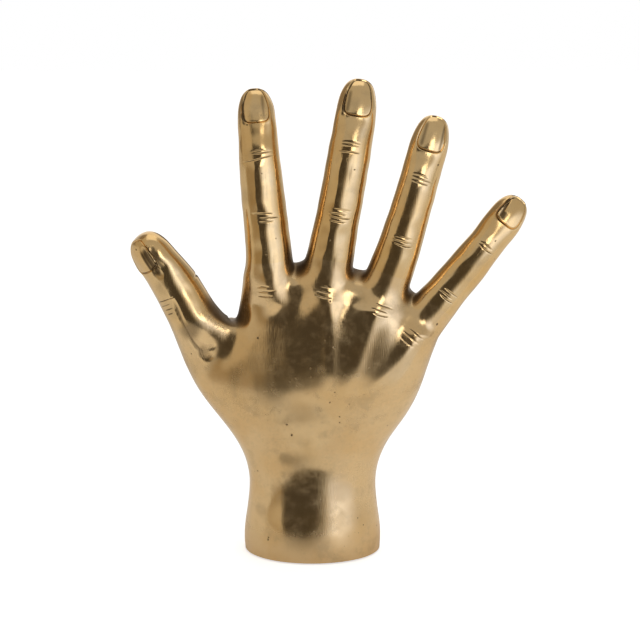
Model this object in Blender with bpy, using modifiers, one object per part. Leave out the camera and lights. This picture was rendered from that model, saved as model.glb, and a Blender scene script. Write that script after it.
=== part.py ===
"""Brass hand sculpture: a life-size right hand with spread fingers, standing on its wrist.

The hand is a coarse cage, grown from a grid by extrusion and rounded by subdivision. It is then
parted the way it is cast: a hollow palm with five sockets, five solid digits with tenons, and a
base plate, three screws and a felt pad that close the foot. All sizes are in millimetres.
The back of the hand faces -Y, the fingers point up, and the felt rests on z = 0.
"""

import math
from dataclasses import dataclass
from functools import partial

import bmesh
import bpy
from mathutils import Matrix, Vector

MM = 0.001

# Main sizes of the hand
PALM_BREADTH = 98.0      # across the knuckles
PALM_HEIGHT = 92.0       # from the wrist to the knuckle of the middle finger
FINGER_LENGTH = 94.0     # middle finger, from its root to its tip
FINGER_BREADTH = 21.0
FINGER_DEPTH = 18.0

# Foot and wrist
FOOT_WIDTH = 71.4
FOOT_DEPTH = 62.0
FOOT_TUCK = 1.4          # the foot's edge is drawn in this far
FOOT_LIP = 9.0           # height over which it is drawn in
WRIST_WIDTH = 63.0
WRIST_DEPTH = 47.0
WRIST_HEIGHT = 41.0
FOOT_LEVELS = (-0.1, 0.0, 0.22, 0.415, 0.683, 1.0)    # shares of the wrist's height

# Back and palm of the hand
BACK_RISE = 5.0          # how far the back of the hand stands in front of the wrist
PALM_THICKNESS = 39.0    # at the web of the thumb
PALM_TURN = 0.12         # slope of the back, which faces a little to the thumb's side
PALM_TURN_CENTRE = 0.051    # this and the next three are shares of the palm's breadth
PALM_TURN_REACH = 0.44
BACK_ROUND = 0.274       # how much more the back slopes towards the thumb
BACK_ROUND_FROM = 0.153
PALM_TURN_TOP = 0.59     # share of the palm's height at which it is turned fully
THENAR_RISE = 7.0        # pad at the root of the thumb
HYPOTHENAR_RISE = 4.5    # pad on the little finger's side
PALM_HOLLOW = 5.0
TENDON_RISE = 1.0
KNUCKLE_DEPTH = 30.0
KNUCKLE_FLARE = 4.0      # how far the outer knuckles swell to the side
SIDE_FLARE = 5.5         # how far the palm's sides lie outside the outer knuckles' columns
INDEX_SHOULDER = 5.0     # flare of the index finger's root towards the thumb

# Webs between the fingers slope down to the back of the hand
WEB_DROP_BACK = 7.0
WEB_DROP_MIDDLE = 0.0

# Nails
NAIL_MARGIN = 0.3
NAIL_GROOVE = 0.6
NAIL_BORDER = 0.7
NAIL_RISE = 0.75
NAIL_EDGE = 0.4
NAIL_SPREAD = 1.17       # a nail's corners lie this much further round than an even ring's
NAIL_FLATNESS = 0.97
NAIL_START = 0.3         # share of the last bone
TIP_RISE = 1.2           # how far the middle of the fingertip stands out

# Casting and joints
WALL = 5.0
JOINT_GAP = 0.3
SEAM_RISE = 4.5          # how far above its root a finger is parted from the palm
THUMB_SEAM_RISE = 9.0
TENON_LENGTH = 14.0
TENON_SHARE = 0.5        # tenon diameter as a share of the digit's breadth
TENON_TAPER = 0.8
TENON_ROOT = 5.0         # how far the tenon's solid runs on into its digit
CORE_TOP = 104.0
CORE_REACH = 42.0        # how far the hollow spreads to each side under the fingers

# Foot: rim, plate, felt and screws
RIM_HEIGHT = 0.8         # the felt lifts the brass rim this far off the table
RIM_WIDTH = 3.5
LEDGE_WIDTH = 5.0
PLATE_THICKNESS = 3.0
FELT_THICKNESS = 1.8
LUG_RADIUS = 4.5
LUG_HEIGHT = 12.0
SCREW_RADIUS = 1.5
SCREW_LENGTH = 11.0
SCREW_HEAD_RADIUS = 3.0
SCREW_HEAD_HEIGHT = 1.7
SCREW_SLOT = 0.8
SCREW_CLEARANCE = 1.0    # depth of a lug's hole beyond its screw
SCREW_ANGLES = (90.0, 210.0, 330.0)

# Mesh
FORM_LEVELS = 2
FORM_SHARE = 0.33        # share of the rounded form's triangles that is kept
OVAL_SIDES = 40
PEG_SIDES = 20
RING_SWELL = 1.108       # a ring of eight points shrinks by this much when it is rounded
JOINT_BLEND = 4.0        # the centre line turns over this length each side of a joint
CUTTER_OVERLAP = 2.0     # how far a cutter stands out of what it cuts
SINK_OVERLAP = 0.01      # the same for a countersink, whose wide end would cut too wide
SHANK_OVERLAP = 0.5      # how far a screw's shank runs on into its head
SEAM_SIDE = 2.5          # a seam's cutter is this much wider than its digit on each side
SEAM_DEPTH = 15.0        # and this much deeper, as no neighbour stands there

# Cage: three columns to a finger and a web cell between fingers, by three rows
FINGERS = ("index", "middle", "ring", "little")
LAST_COLUMN = 11
BACK_ROW, SIDE_ROW, PALM_ROW = 0, 1, 2
THUMB_STATION = len(FOOT_LEVELS) + 2    # first palm station of the block that the thumb grows from
KNUCKLE_RINGS = (0.8, 0.18, 0.36)    # one ring just below the knuckles and two just above, as shares


@dataclass
class Station:
    """One level of the palm: its height and sides, and how far its columns follow the fingers."""

    height: float
    left: float
    right: float
    back: float
    palm: float
    squareness: float
    finger_share: float
    slant: float


def place(across, out, up):
    """A point of the hand from shares of the palm's breadth, the knuckles' depth and the palm's height."""
    return Vector((across * PALM_BREADTH, out * KNUCKLE_DEPTH, WRIST_HEIGHT + up * PALM_HEIGHT))


@dataclass
class Knuckle:
    """Where a finger leaves the palm, and half the spacing of its three columns, as shares."""

    across: float
    out: float
    up: float
    half_breadth: float
    half_depth: float


@dataclass
class Digit:
    """A finger or thumb: its root, the lean of each bone, and its sizes at root, joints and nail.

    The root is a place, and lengths, breadths and depths are shares of a finger's.
    """

    root: tuple
    tilts: tuple
    curls: tuple
    lengths: tuple
    breadths: tuple
    depths: tuple
    nail_turn: float = 0.0
    seam: float = SEAM_RISE
    first_ring: float = 0.9     # share of the way to the seam

    def __post_init__(self):
        self.root = place(*self.root)
        self.lengths = [share * FINGER_LENGTH for share in self.lengths]
        self.breadths = [share * FINGER_BREADTH for share in self.breadths]
        self.depths = [share * FINGER_DEPTH for share in self.depths]

    def axis(self, bone):
        tilt = math.radians(self.tilts[bone])
        curl = math.radians(self.curls[bone])
        return Vector((math.sin(tilt) * math.cos(curl), math.sin(curl), math.cos(tilt) * math.cos(curl)))

    def length(self):
        return sum(self.lengths)

    def straight_point(self, s):
        """The point at distance s from the root, with a sharp turn at each joint."""
        point = self.root
        last = len(self.lengths) - 1
        for bone, length in enumerate(self.lengths):
            if s <= length or bone == last:
                return point + self.axis(bone) * s
            point = point + self.axis(bone) * length
            s -= length

    def frame(self, s):
        """Centre, axis, across and back directions at distance s from the root."""
        before = self.straight_point(s - JOINT_BLEND)
        after = self.straight_point(s + JOINT_BLEND)
        centre = (before + after) / 4 + self.straight_point(s) / 2
        axis = (after - before).normalized()
        across = Vector((axis.z, 0.0, -axis.x)).normalized()
        return centre, axis, across, axis.cross(across) * -1.0

    def knots(self):
        """Distances from the root of the four places where the sizes are given."""
        end_joint = self.length() - self.lengths[-1]
        middle_joint = self.lengths[0] if len(self.lengths) > 2 else end_joint / 2
        return (0.0, middle_joint, end_joint, self.length() - self.lengths[-1] * 0.45)

    def half_sizes(self, s):
        """Half breadth and half depth at distance s, with a round tip."""
        knots = self.knots()
        last = len(knots) - 1
        k = min(max(sum(s > knot for knot in knots) - 1, 0), last - 1)
        share = min((s - knots[k]) / (knots[k + 1] - knots[k]), 1.0)
        sizes = [(row[k] + (row[k + 1] - row[k]) * share) / 2 for row in (self.breadths, self.depths)]
        round_length = self.lengths[-1] * 0.5
        over = max(s - self.length() + round_length, 0.0) / round_length
        tip = (1.0 - min(over, 1.0) ** 2.6) ** 0.45
        return sizes[0] * tip, sizes[1] * tip

    def ring_point(self, s, i, j):
        """Cage point of the ring at s: i is -1, 0 or 1 across, j is 1 at the back and -1 at the palm."""
        centre, axis, across, back = self.frame(s)
        if i == 0 and j == 0:
            return centre + axis * (TIP_RISE if s > self.length() * 0.95 else 0.0)
        half_breadth, half_depth = self.half_sizes(s)
        swell = RING_SWELL
        turned = math.atan2(j, i) - math.radians(self.nail_turn)
        from_nail = math.remainder(turned - math.pi / 2, 2.0 * math.pi)
        if s > self.length() - self.lengths[-1] * (1.0 - NAIL_START) and abs(from_nail) < 1.0:
            turned = math.pi / 2 + from_nail * NAIL_SPREAD
            swell *= 1.0 if from_nail else NAIL_FLATNESS
        radius = swell / math.hypot(math.cos(turned) / half_breadth, math.sin(turned) / half_depth)
        angle = turned + math.radians(self.nail_turn)
        return centre + (across * math.cos(angle) + back * math.sin(angle)) * radius

    def stops(self):
        """Distances of the rings from the root. The nail lies between the last four."""
        end_joint = self.length() - self.lengths[-1]
        tip = self.lengths[-1]
        nail = [end_joint + tip * share for share in (0.2, 0.43, 0.68, 0.87, 0.965)]
        root = self.seam * self.first_ring
        if len(self.lengths) == 2:
            return [root, end_joint * 0.55, end_joint] + nail
        first = self.lengths[0]
        middle = first + self.lengths[1] * 0.5
        return [root, first * 0.76, first * 1.04, middle, end_joint * 0.98] + nail


DIGITS = {
    "index": Digit(
        root=(-0.212, -0.383, 1.16),
        tilts=(-5.0, -5.4, -4.2),
        curls=(-2.0, 2.0, 12.0),
        lengths=(0.277, 0.319, 0.358),
        breadths=(1.133, 1.038, 0.967, 0.914),
        depths=(1.167, 1.083, 0.972, 0.861),
    ),
    "middle": Digit(
        root=(0.082, -0.467, 1.179),
        tilts=(10.8, 10.2, 9.2),
        curls=(-2.0, 2.0, 12.0),
        lengths=(0.256, 0.356, 0.386),
        breadths=(1.162, 1.057, 1.0, 0.962),
        depths=(1.194, 1.111, 1.0, 0.889),
    ),
    "ring": Digit(
        root=(0.377, -0.493, 1.102),
        tilts=(18.8, 17.0, 15.2),
        curls=(-2.0, 2.0, 12.0),
        lengths=(0.191, 0.34, 0.37),
        breadths=(1.095, 1.01, 0.929, 0.914),
        depths=(1.139, 1.056, 0.944, 0.833),
    ),
    "little": Digit(
        root=(0.601, -0.467, 0.937),
        tilts=(39.3, 38.6, 38.5),
        curls=(-2.0, 2.0, 12.0),
        lengths=(0.117, 0.314, 0.326),
        breadths=(1.067, 0.971, 0.886, 0.9),
        depths=(1.056, 0.972, 0.889, 0.778),
    ),
    "thumb": Digit(
        root=(-0.557, -0.117, 0.778),
        tilts=(-28.0, -34.5),
        curls=(0.0, -4.0),
        lengths=(0.298, 0.338),
        breadths=(1.357, 1.219, 1.229, 1.114),
        depths=(1.444, 1.333, 1.25, 1.0),
        nail_turn=45.0,
        seam=THUMB_SEAM_RISE,
        first_ring=0.67,
    ),
}

KNUCKLES = {
    "index": Knuckle(-0.194, -0.4, 0.984, 0.097, 0.5),
    "middle": Knuckle(0.056, -0.417, 1.0, 0.09, 0.517),
    "ring": Knuckle(0.306, -0.4, 0.951, 0.087, 0.5),
    "little": Knuckle(0.526, -0.333, 0.832, 0.092, 0.45),
}


def foot_station(share):
    """A level of the foot, at a share of the wrist's height, which narrows in a smooth curve to the wrist."""
    height = share * WRIST_HEIGHT
    narrowing = (1.0 - math.cos(math.pi * max(share, 0.0))) / 2
    tuck = FOOT_TUCK * max(1.0 - height / FOOT_LIP, 0.0)
    half_width = (FOOT_WIDTH + (WRIST_WIDTH - FOOT_WIDTH) * narrowing) / 2 - tuck
    half_depth = (FOOT_DEPTH + (WRIST_DEPTH - FOOT_DEPTH) * narrowing) / 2 - tuck
    return Station(height, -half_width, half_width, -half_depth, half_depth, 2.0, 0.0, 0.0)


def palm_station(up, left, right, rise, thickness, squareness, finger_share, slant):
    """A level of the palm from shares of its height, breadth, rise and thickness."""
    back = -WRIST_DEPTH / 2 - rise * BACK_RISE
    return Station(
        WRIST_HEIGHT + up * PALM_HEIGHT,
        left * PALM_BREADTH,
        right * PALM_BREADTH,
        back,
        back + thickness * PALM_THICKNESS,
        squareness,
        finger_share,
        slant * PALM_HEIGHT,
    )


STATIONS = [foot_station(share) for share in FOOT_LEVELS] + [
    palm_station(0.174, -0.386, 0.384, 0.24, 1.236, 2.1, 0.3, 0.0),
    palm_station(0.348, -0.527, 0.5, 0.64, 1.274, 2.2, 0.5, 0.011),
    palm_station(0.511, -0.645, 0.559, 1.0, 1.269, 2.3, 0.7, 0.043),
    palm_station(0.663, -0.551, 0.588, 1.1, 1.141, 2.4, 0.85, 0.098),
    palm_station(0.826, -0.408, 0.62, 0.8, 0.974, 2.6, 1.0, 0.152),
]

# Pads and hollow of the palm: across and up, half width and half height as shares, then rise
PALM_FORMS = (
    (-0.347, 0.402, 0.204, 0.283, THENAR_RISE),
    (0.347, 0.337, 0.163, 0.326, HYPOTHENAR_RISE),
    (0.041, 0.62, 0.153, 0.239, -PALM_HOLLOW),
)


def turned(x, z):
    """How far the turned palm lies back at a place across it, growing from the wrist up."""
    away = min(max(x / PALM_BREADTH - PALM_TURN_CENTRE, -PALM_TURN_REACH), PALM_TURN_REACH)
    slope = BACK_ROUND * min(away + BACK_ROUND_FROM, 0.0) ** 2 - PALM_TURN * away
    share = min(max((z - WRIST_HEIGHT) / (PALM_HEIGHT * PALM_TURN_TOP), 0.0), 1.0)
    return PALM_BREADTH * slope * share * share * (3.0 - 2.0 * share)


def knuckle_column(column):
    """The finger, its knuckle and the side -1, 0 or 1 of a column across the hand."""
    finger, side = divmod(column, 3)
    name = FINGERS[finger]
    return name, KNUCKLES[name], side - 1


def column_share(column, finger_share):
    """How far across the palm a column lies, from evenly turned to in line with the fingers."""
    angle = math.pi - 2.0 * math.pi * (column + 1) / (2 * (LAST_COLUMN + 2))
    even = (math.cos(angle) + 1.0) / 2
    places = []
    for edge in (0, LAST_COLUMN, column):
        _, knuckle, side = knuckle_column(edge)
        places.append((knuckle.across + side * knuckle.half_breadth) * PALM_BREADTH)
    left, right = places[0] - SIDE_FLARE, places[1] + SIDE_FLARE
    return even * (1.0 - finger_share) + (places[2] - left) / (right - left) * finger_share


def palm_point(level, column, row):
    """Cage point of the palm."""
    station = STATIONS[level]
    share = column_share(column, station.finger_share)
    if row == SIDE_ROW and column in (0, LAST_COLUMN):
        share = column / LAST_COLUMN
    x = station.left + (station.right - station.left) * share
    z = station.height - station.slant * share * share
    bulge = max(1.0 - abs(2.0 * share - 1.0) ** station.squareness, 0.0) ** (1.0 / station.squareness)
    middle = (station.back + station.palm) / 2
    y = middle + (station.palm - middle) * bulge * (row - SIDE_ROW)
    if row == PALM_ROW:
        for across, up, half_width, half_height, rise in PALM_FORMS:
            near_x = (x / PALM_BREADTH - across) / half_width
            near_z = ((z - WRIST_HEIGHT) / PALM_HEIGHT - up) / half_height
            y += rise * bulge * math.exp(-(near_x**2) - near_z**2)
    y += turned(x, station.height)
    if row == BACK_ROW and level >= THUMB_STATION:
        ridge = 1.0 if column % 3 == 1 else -0.3
        y -= TENDON_RISE * ridge * (level - THUMB_STATION + 1) / 3
    return Vector((x, y, z))


def knuckle_point(column, row):
    """Cage point of the ring through the knuckles."""
    name, knuckle, side = knuckle_column(column)
    lean = math.radians(DIGITS[name].tilts[0]) / 2
    across = Vector((math.cos(lean), 0.0, -math.sin(lean)))
    half_breadth = knuckle.half_breadth * PALM_BREADTH
    point = place(knuckle.across, knuckle.out, knuckle.up) + across * (side * half_breadth)
    point.y += turned(point.x, point.z)
    outer = column in (0, LAST_COLUMN)
    if row == SIDE_ROW:
        flare = KNUCKLE_FLARE + INDEX_SHOULDER * 1.3 * (column == 0)
        return point + across * (side * flare if outer else 0.0)
    edge = 1.0
    if side:
        edge = 0.66 if outer else 0.74
    return point + Vector((0.0, knuckle.half_depth * KNUCKLE_DEPTH * edge * (row - SIDE_ROW), 0.0))


def root_point(column, row):
    """Cage point of the finger roots, lowered where a web lies beside them."""
    name, _, side = knuckle_column(column)
    digit = DIGITS[name]
    point = digit.ring_point(0.0, side, SIDE_ROW - row)
    drop = {BACK_ROW: WEB_DROP_BACK, SIDE_ROW: WEB_DROP_MIDDLE, PALM_ROW: 0.0}[row]
    if column in (0, LAST_COLUMN) or side == 0:
        drop = WEB_DROP_BACK * 0.7 if row == BACK_ROW else 0.0
    point -= digit.axis(0) * drop
    if column == 0:
        point.x -= INDEX_SHOULDER * 0.3
    return point


def palm_rings():
    """For each ring of the palm, from foot to finger roots, what gives its point in a column and row."""

    def between(lower, upper, share):
        return lambda column, row: lower(column, row).lerp(upper(column, row), share)

    rings = [partial(palm_point, level) for level in range(len(STATIONS))]
    below, *above = KNUCKLE_RINGS
    rings.append(between(rings[-1], knuckle_point, below))
    rings.append(knuckle_point)
    rings += [between(knuckle_point, root_point, share) for share in above]
    rings.append(root_point)
    return rings


def extrude(bm, faces, keep=False):
    """Extrudes the faces as one region, and returns the moved faces and their points."""
    made = bmesh.ops.extrude_face_region(bm, geom=faces)["geom"]
    if not keep:
        bmesh.ops.delete(bm, geom=faces, context="FACES")
    moved = [item for item in made if isinstance(item, bmesh.types.BMFace)]
    points = [item for item in made if isinstance(item, bmesh.types.BMVert)]
    return moved, points


def inset_nail(bm, faces):
    """Sinks a groove round the faces and raises the nail inside it."""
    crease = bm.edges.layers.float["crease_edge"]
    steps = ((NAIL_MARGIN, 0.0, 0.4), (NAIL_BORDER, -NAIL_GROOVE, 0.6), (NAIL_EDGE, NAIL_RISE, 0.6))
    for thickness, depth, sharpness in steps:
        border = bmesh.ops.inset_region(
            bm, faces=faces, thickness=thickness * MM, depth=depth * MM, use_even_offset=True
        )["faces"]
        ring = set(border)
        for edge in {edge for face in faces for edge in face.edges}:
            if ring & set(edge.link_faces):
                edge[crease] = sharpness


def grow_digit(bm, name, faces, local):
    """Grows a digit ring by ring from four faces, and sinks its nail. local gives a point's (i, j)."""
    digit = DIGITS[name]
    stop_layer = bm.verts.layers.int["stop"]
    stops = digit.stops()
    grown = set()
    for number, s in enumerate(stops, start=1):
        faces, points = extrude(bm, faces)
        for point in points:
            point[stop_layer] = number
            point.co = digit.ring_point(s, *local(point)) * MM
        grown.update(points)
    nail_stops = range(len(stops) - 3, len(stops) + 1)
    nail_side = {(-1, 0), (-1, 1), (0, 1)} if digit.nail_turn else {(-1, 1), (0, 1), (1, 1)}
    on_nail = {v for v in grown if v.is_valid and v[stop_layer] in nail_stops and local(v) in nail_side}
    inset_nail(bm, [face for face in bm.faces if on_nail.issuperset(face.verts)])


def build_cage():
    """The whole hand as a coarse mesh of quads."""
    bm = bmesh.new()
    column_layer = bm.verts.layers.int.new("column")
    row_layer = bm.verts.layers.int.new("row")
    level_layer = bm.verts.layers.int.new("level")
    bm.verts.layers.int.new("stop")
    bm.edges.layers.float.new("crease_edge")
    bmesh.ops.create_grid(bm, x_segments=LAST_COLUMN, y_segments=PALM_ROW, size=1.0)
    for vert in bm.verts:
        vert[column_layer] = round((vert.co.x + 1.0) / 2 * LAST_COLUMN)
        vert[row_layer] = round((vert.co.y + 1.0) / 2 * PALM_ROW)
    first, *others = palm_rings()
    for vert in bm.verts:
        vert.co = first(vert[column_layer], vert[row_layer]) * MM
    faces = list(bm.faces)
    for level, ring in enumerate(others, start=1):
        faces, points = extrude(bm, faces, keep=level == 1)
        for vert in points:
            vert[level_layer] = level
            vert.co = ring(vert[column_layer], vert[row_layer]) * MM
    for number, name in enumerate(FINGERS):
        left = number * 3
        columns = range(left, left + 3)
        block = [f for f in faces if f.is_valid and all(v[column_layer] in columns for v in f.verts)]
        grow_digit(bm, name, block, lambda v: (v[column_layer] - left - 1, SIDE_ROW - v[row_layer]))
    levels = range(THUMB_STATION, THUMB_STATION + 3)
    block = [f for f in bm.faces if all(v[column_layer] == 0 and v[level_layer] in levels for v in f.verts)]
    grow_digit(bm, "thumb", block, lambda v: (v[level_layer] - THUMB_STATION - 1, SIDE_ROW - v[row_layer]))
    bmesh.ops.recalc_face_normals(bm, faces=list(bm.faces))
    return bm


def new_object(name, bm, collection):
    """An object from a bmesh."""
    mesh = bpy.data.meshes.new(name)
    bm.to_mesh(mesh)
    bm.free()
    obj = bpy.data.objects.new(name, mesh)
    collection.objects.link(obj)
    return obj


def as_cutter(obj):
    """Marks a helper, which no render shows."""
    obj.hide_render = True
    obj.display_type = "WIRE"
    return obj


def boolean(obj, operation, other):
    """Adds a Boolean by another object."""
    modifier = obj.modifiers.new(f"{operation.lower()} {other.name}", "BOOLEAN")
    modifier.operation = operation
    modifier.solver = "EXACT"
    modifier.object = other


def digit_matrix(digit, s):
    """The place and turn of a digit's ring at s, in metres: local Z along the digit."""
    centre, axis, across, back = digit.frame(s)
    turn = Matrix((across, -back, axis)).transposed().to_4x4()
    return Matrix.Translation(centre * MM) @ turn


def seam_box(name, digit, lift, collection):
    """A box round all of a digit beyond its seam."""
    bm = bmesh.new()
    bmesh.ops.create_cube(bm, size=1.0)
    half_breadth, half_depth = digit.half_sizes(digit.seam)
    width = (half_breadth + SEAM_SIDE) * 2
    depth = (half_depth + SEAM_DEPTH) * 2
    height = digit.length() + FINGER_BREADTH
    bmesh.ops.scale(bm, vec=(width * MM, depth * MM, height * MM), verts=bm.verts)
    bmesh.ops.translate(bm, vec=(0.0, 0.0, (height / 2 + lift) * MM), verts=bm.verts)
    bmesh.ops.transform(bm, matrix=digit_matrix(digit, digit.seam), verts=bm.verts)
    return as_cutter(new_object(name, bm, collection))


def peg(name, digit, clearance, above, collection):
    """The tenon of a digit, or its socket when it has clearance: a cone that narrows into the palm."""
    radius = digit.half_sizes(digit.seam)[0] * TENON_SHARE
    length = TENON_LENGTH + clearance
    bm = bmesh.new()
    bmesh.ops.create_cone(
        bm,
        cap_ends=True,
        segments=PEG_SIDES,
        radius1=(radius * TENON_TAPER + clearance) * MM,
        radius2=(radius + clearance) * MM,
        depth=(length + above) * MM,
    )
    bmesh.ops.translate(bm, vec=(0.0, 0.0, (above - length) / 2 * MM), verts=bm.verts)
    bmesh.ops.transform(bm, matrix=digit_matrix(digit, digit.seam), verts=bm.verts)
    return as_cutter(new_object(name, bm, collection))


def oval(name, half_width, half_depth, low, high, collection):
    """An upright oval disc."""
    bm = bmesh.new()
    bmesh.ops.create_cone(
        bm, cap_ends=True, segments=OVAL_SIDES, radius1=1.0, radius2=1.0, depth=(high - low) * MM
    )
    bmesh.ops.scale(bm, vec=(half_width * MM, half_depth * MM, 1.0), verts=bm.verts)
    bmesh.ops.translate(bm, vec=(0.0, 0.0, (low + high) / 2 * MM), verts=bm.verts)
    return new_object(name, bm, collection)


def post(name, x, y, radius, low, high, collection, top_radius=None):
    """An upright cylinder or cone."""
    bm = bmesh.new()
    bmesh.ops.create_cone(
        bm,
        cap_ends=True,
        segments=PEG_SIDES,
        radius1=radius * MM,
        radius2=(radius if top_radius is None else top_radius) * MM,
        depth=(high - low) * MM,
    )
    bmesh.ops.translate(bm, vec=(x * MM, y * MM, (low + high) / 2 * MM), verts=bm.verts)
    return new_object(name, bm, collection)


def core_ovals():
    """Height, centre y and half sizes of the hollow, one wall inside the foot's ledge and the palm."""
    inset = RIM_WIDTH + LEDGE_WIDTH
    ovals = [(RIM_HEIGHT, 0.0, FOOT_WIDTH / 2 - inset, FOOT_DEPTH / 2 - inset)]
    for station in STATIONS[len(FOOT_LEVELS) - 1:THUMB_STATION + 1]:
        hollow = PALM_HOLLOW if station.height > CORE_TOP * 0.6 else 0.0
        half_width = min(-station.left, station.right, CORE_REACH) - WALL
        half_depth = (station.palm - hollow - station.back) / 2
        ovals.append((station.height, station.back + half_depth, half_width, half_depth - WALL))
    _, centre, half_width, half_depth = ovals[-1]
    ovals.append((CORE_TOP, centre, half_width * 0.7, half_depth * 0.6))
    return ovals


def casting_core(collection):
    """The hollow of the palm, lofted through its ovals."""
    bm = bmesh.new()
    loops = []
    for height, centre, half_width, half_depth in core_ovals():
        ring = bmesh.ops.create_circle(bm, segments=OVAL_SIDES, radius=MM)["verts"]
        bmesh.ops.scale(bm, vec=(half_width, half_depth, 1.0), verts=ring)
        bmesh.ops.translate(bm, vec=(0.0, centre * MM, height * MM), verts=ring)
        for vert in ring:
            vert.co.y += turned(vert.co.x / MM, height) * MM
        loops.append(list({edge for vert in ring for edge in vert.link_edges}))
    for lower, upper in zip(loops, loops[1:]):
        bmesh.ops.bridge_loops(bm, edges=lower + upper)
    for loop in (loops[0], loops[-1]):
        bmesh.ops.contextual_create(bm, geom=loop)
    bmesh.ops.recalc_face_normals(bm, faces=list(bm.faces))
    return as_cutter(new_object("palm_core", bm, collection))


def screw_places():
    """Centres of the three base screws, on the ledge inside the foot."""
    inset = RIM_WIDTH + LEDGE_WIDTH + LUG_RADIUS / 2
    for angle in SCREW_ANGLES:
        x = (FOOT_WIDTH / 2 - inset) * math.cos(math.radians(angle))
        y = (FOOT_DEPTH / 2 - inset) * math.sin(math.radians(angle))
        yield x, y


def brass(name, roughness):
    """Polished yellow brass."""
    material = bpy.data.materials.new(name)
    material.use_nodes = True
    shader = material.node_tree.nodes["Principled BSDF"]
    shader.inputs["Base Color"].default_value = (0.72, 0.48, 0.19, 1.0)
    shader.inputs["Metallic"].default_value = 1.0
    shader.inputs["Roughness"].default_value = roughness
    return material


def felt(name):
    """Dark green felt."""
    material = bpy.data.materials.new(name)
    material.use_nodes = True
    shader = material.node_tree.nodes["Principled BSDF"]
    shader.inputs["Base Color"].default_value = (0.025, 0.05, 0.03, 1.0)
    shader.inputs["Roughness"].default_value = 0.95
    return material


def finish(obj, material, smooth_angle=40.0):
    """Gives a part its material and smooth shading up to an angle."""
    obj.data.materials.clear()
    obj.data.materials.append(material)
    obj.data.shade_smooth()
    obj.data.set_sharp_from_angle(angle=math.radians(smooth_angle))


def hand_form(collection):
    """The rounded hand in one piece, from which each casting is cut."""
    form = new_object("hand_form", build_cage(), collection)
    rounding = form.modifiers.new("rounding", "SUBSURF")
    rounding.levels = FORM_LEVELS
    rounding.render_levels = FORM_LEVELS
    fewer = form.modifiers.new("fewer faces", "DECIMATE")
    fewer.ratio = FORM_SHARE
    as_cutter(form)
    graph = bpy.context.evaluated_depsgraph_get()
    return bpy.data.meshes.new_from_object(form.evaluated_get(graph))


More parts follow.
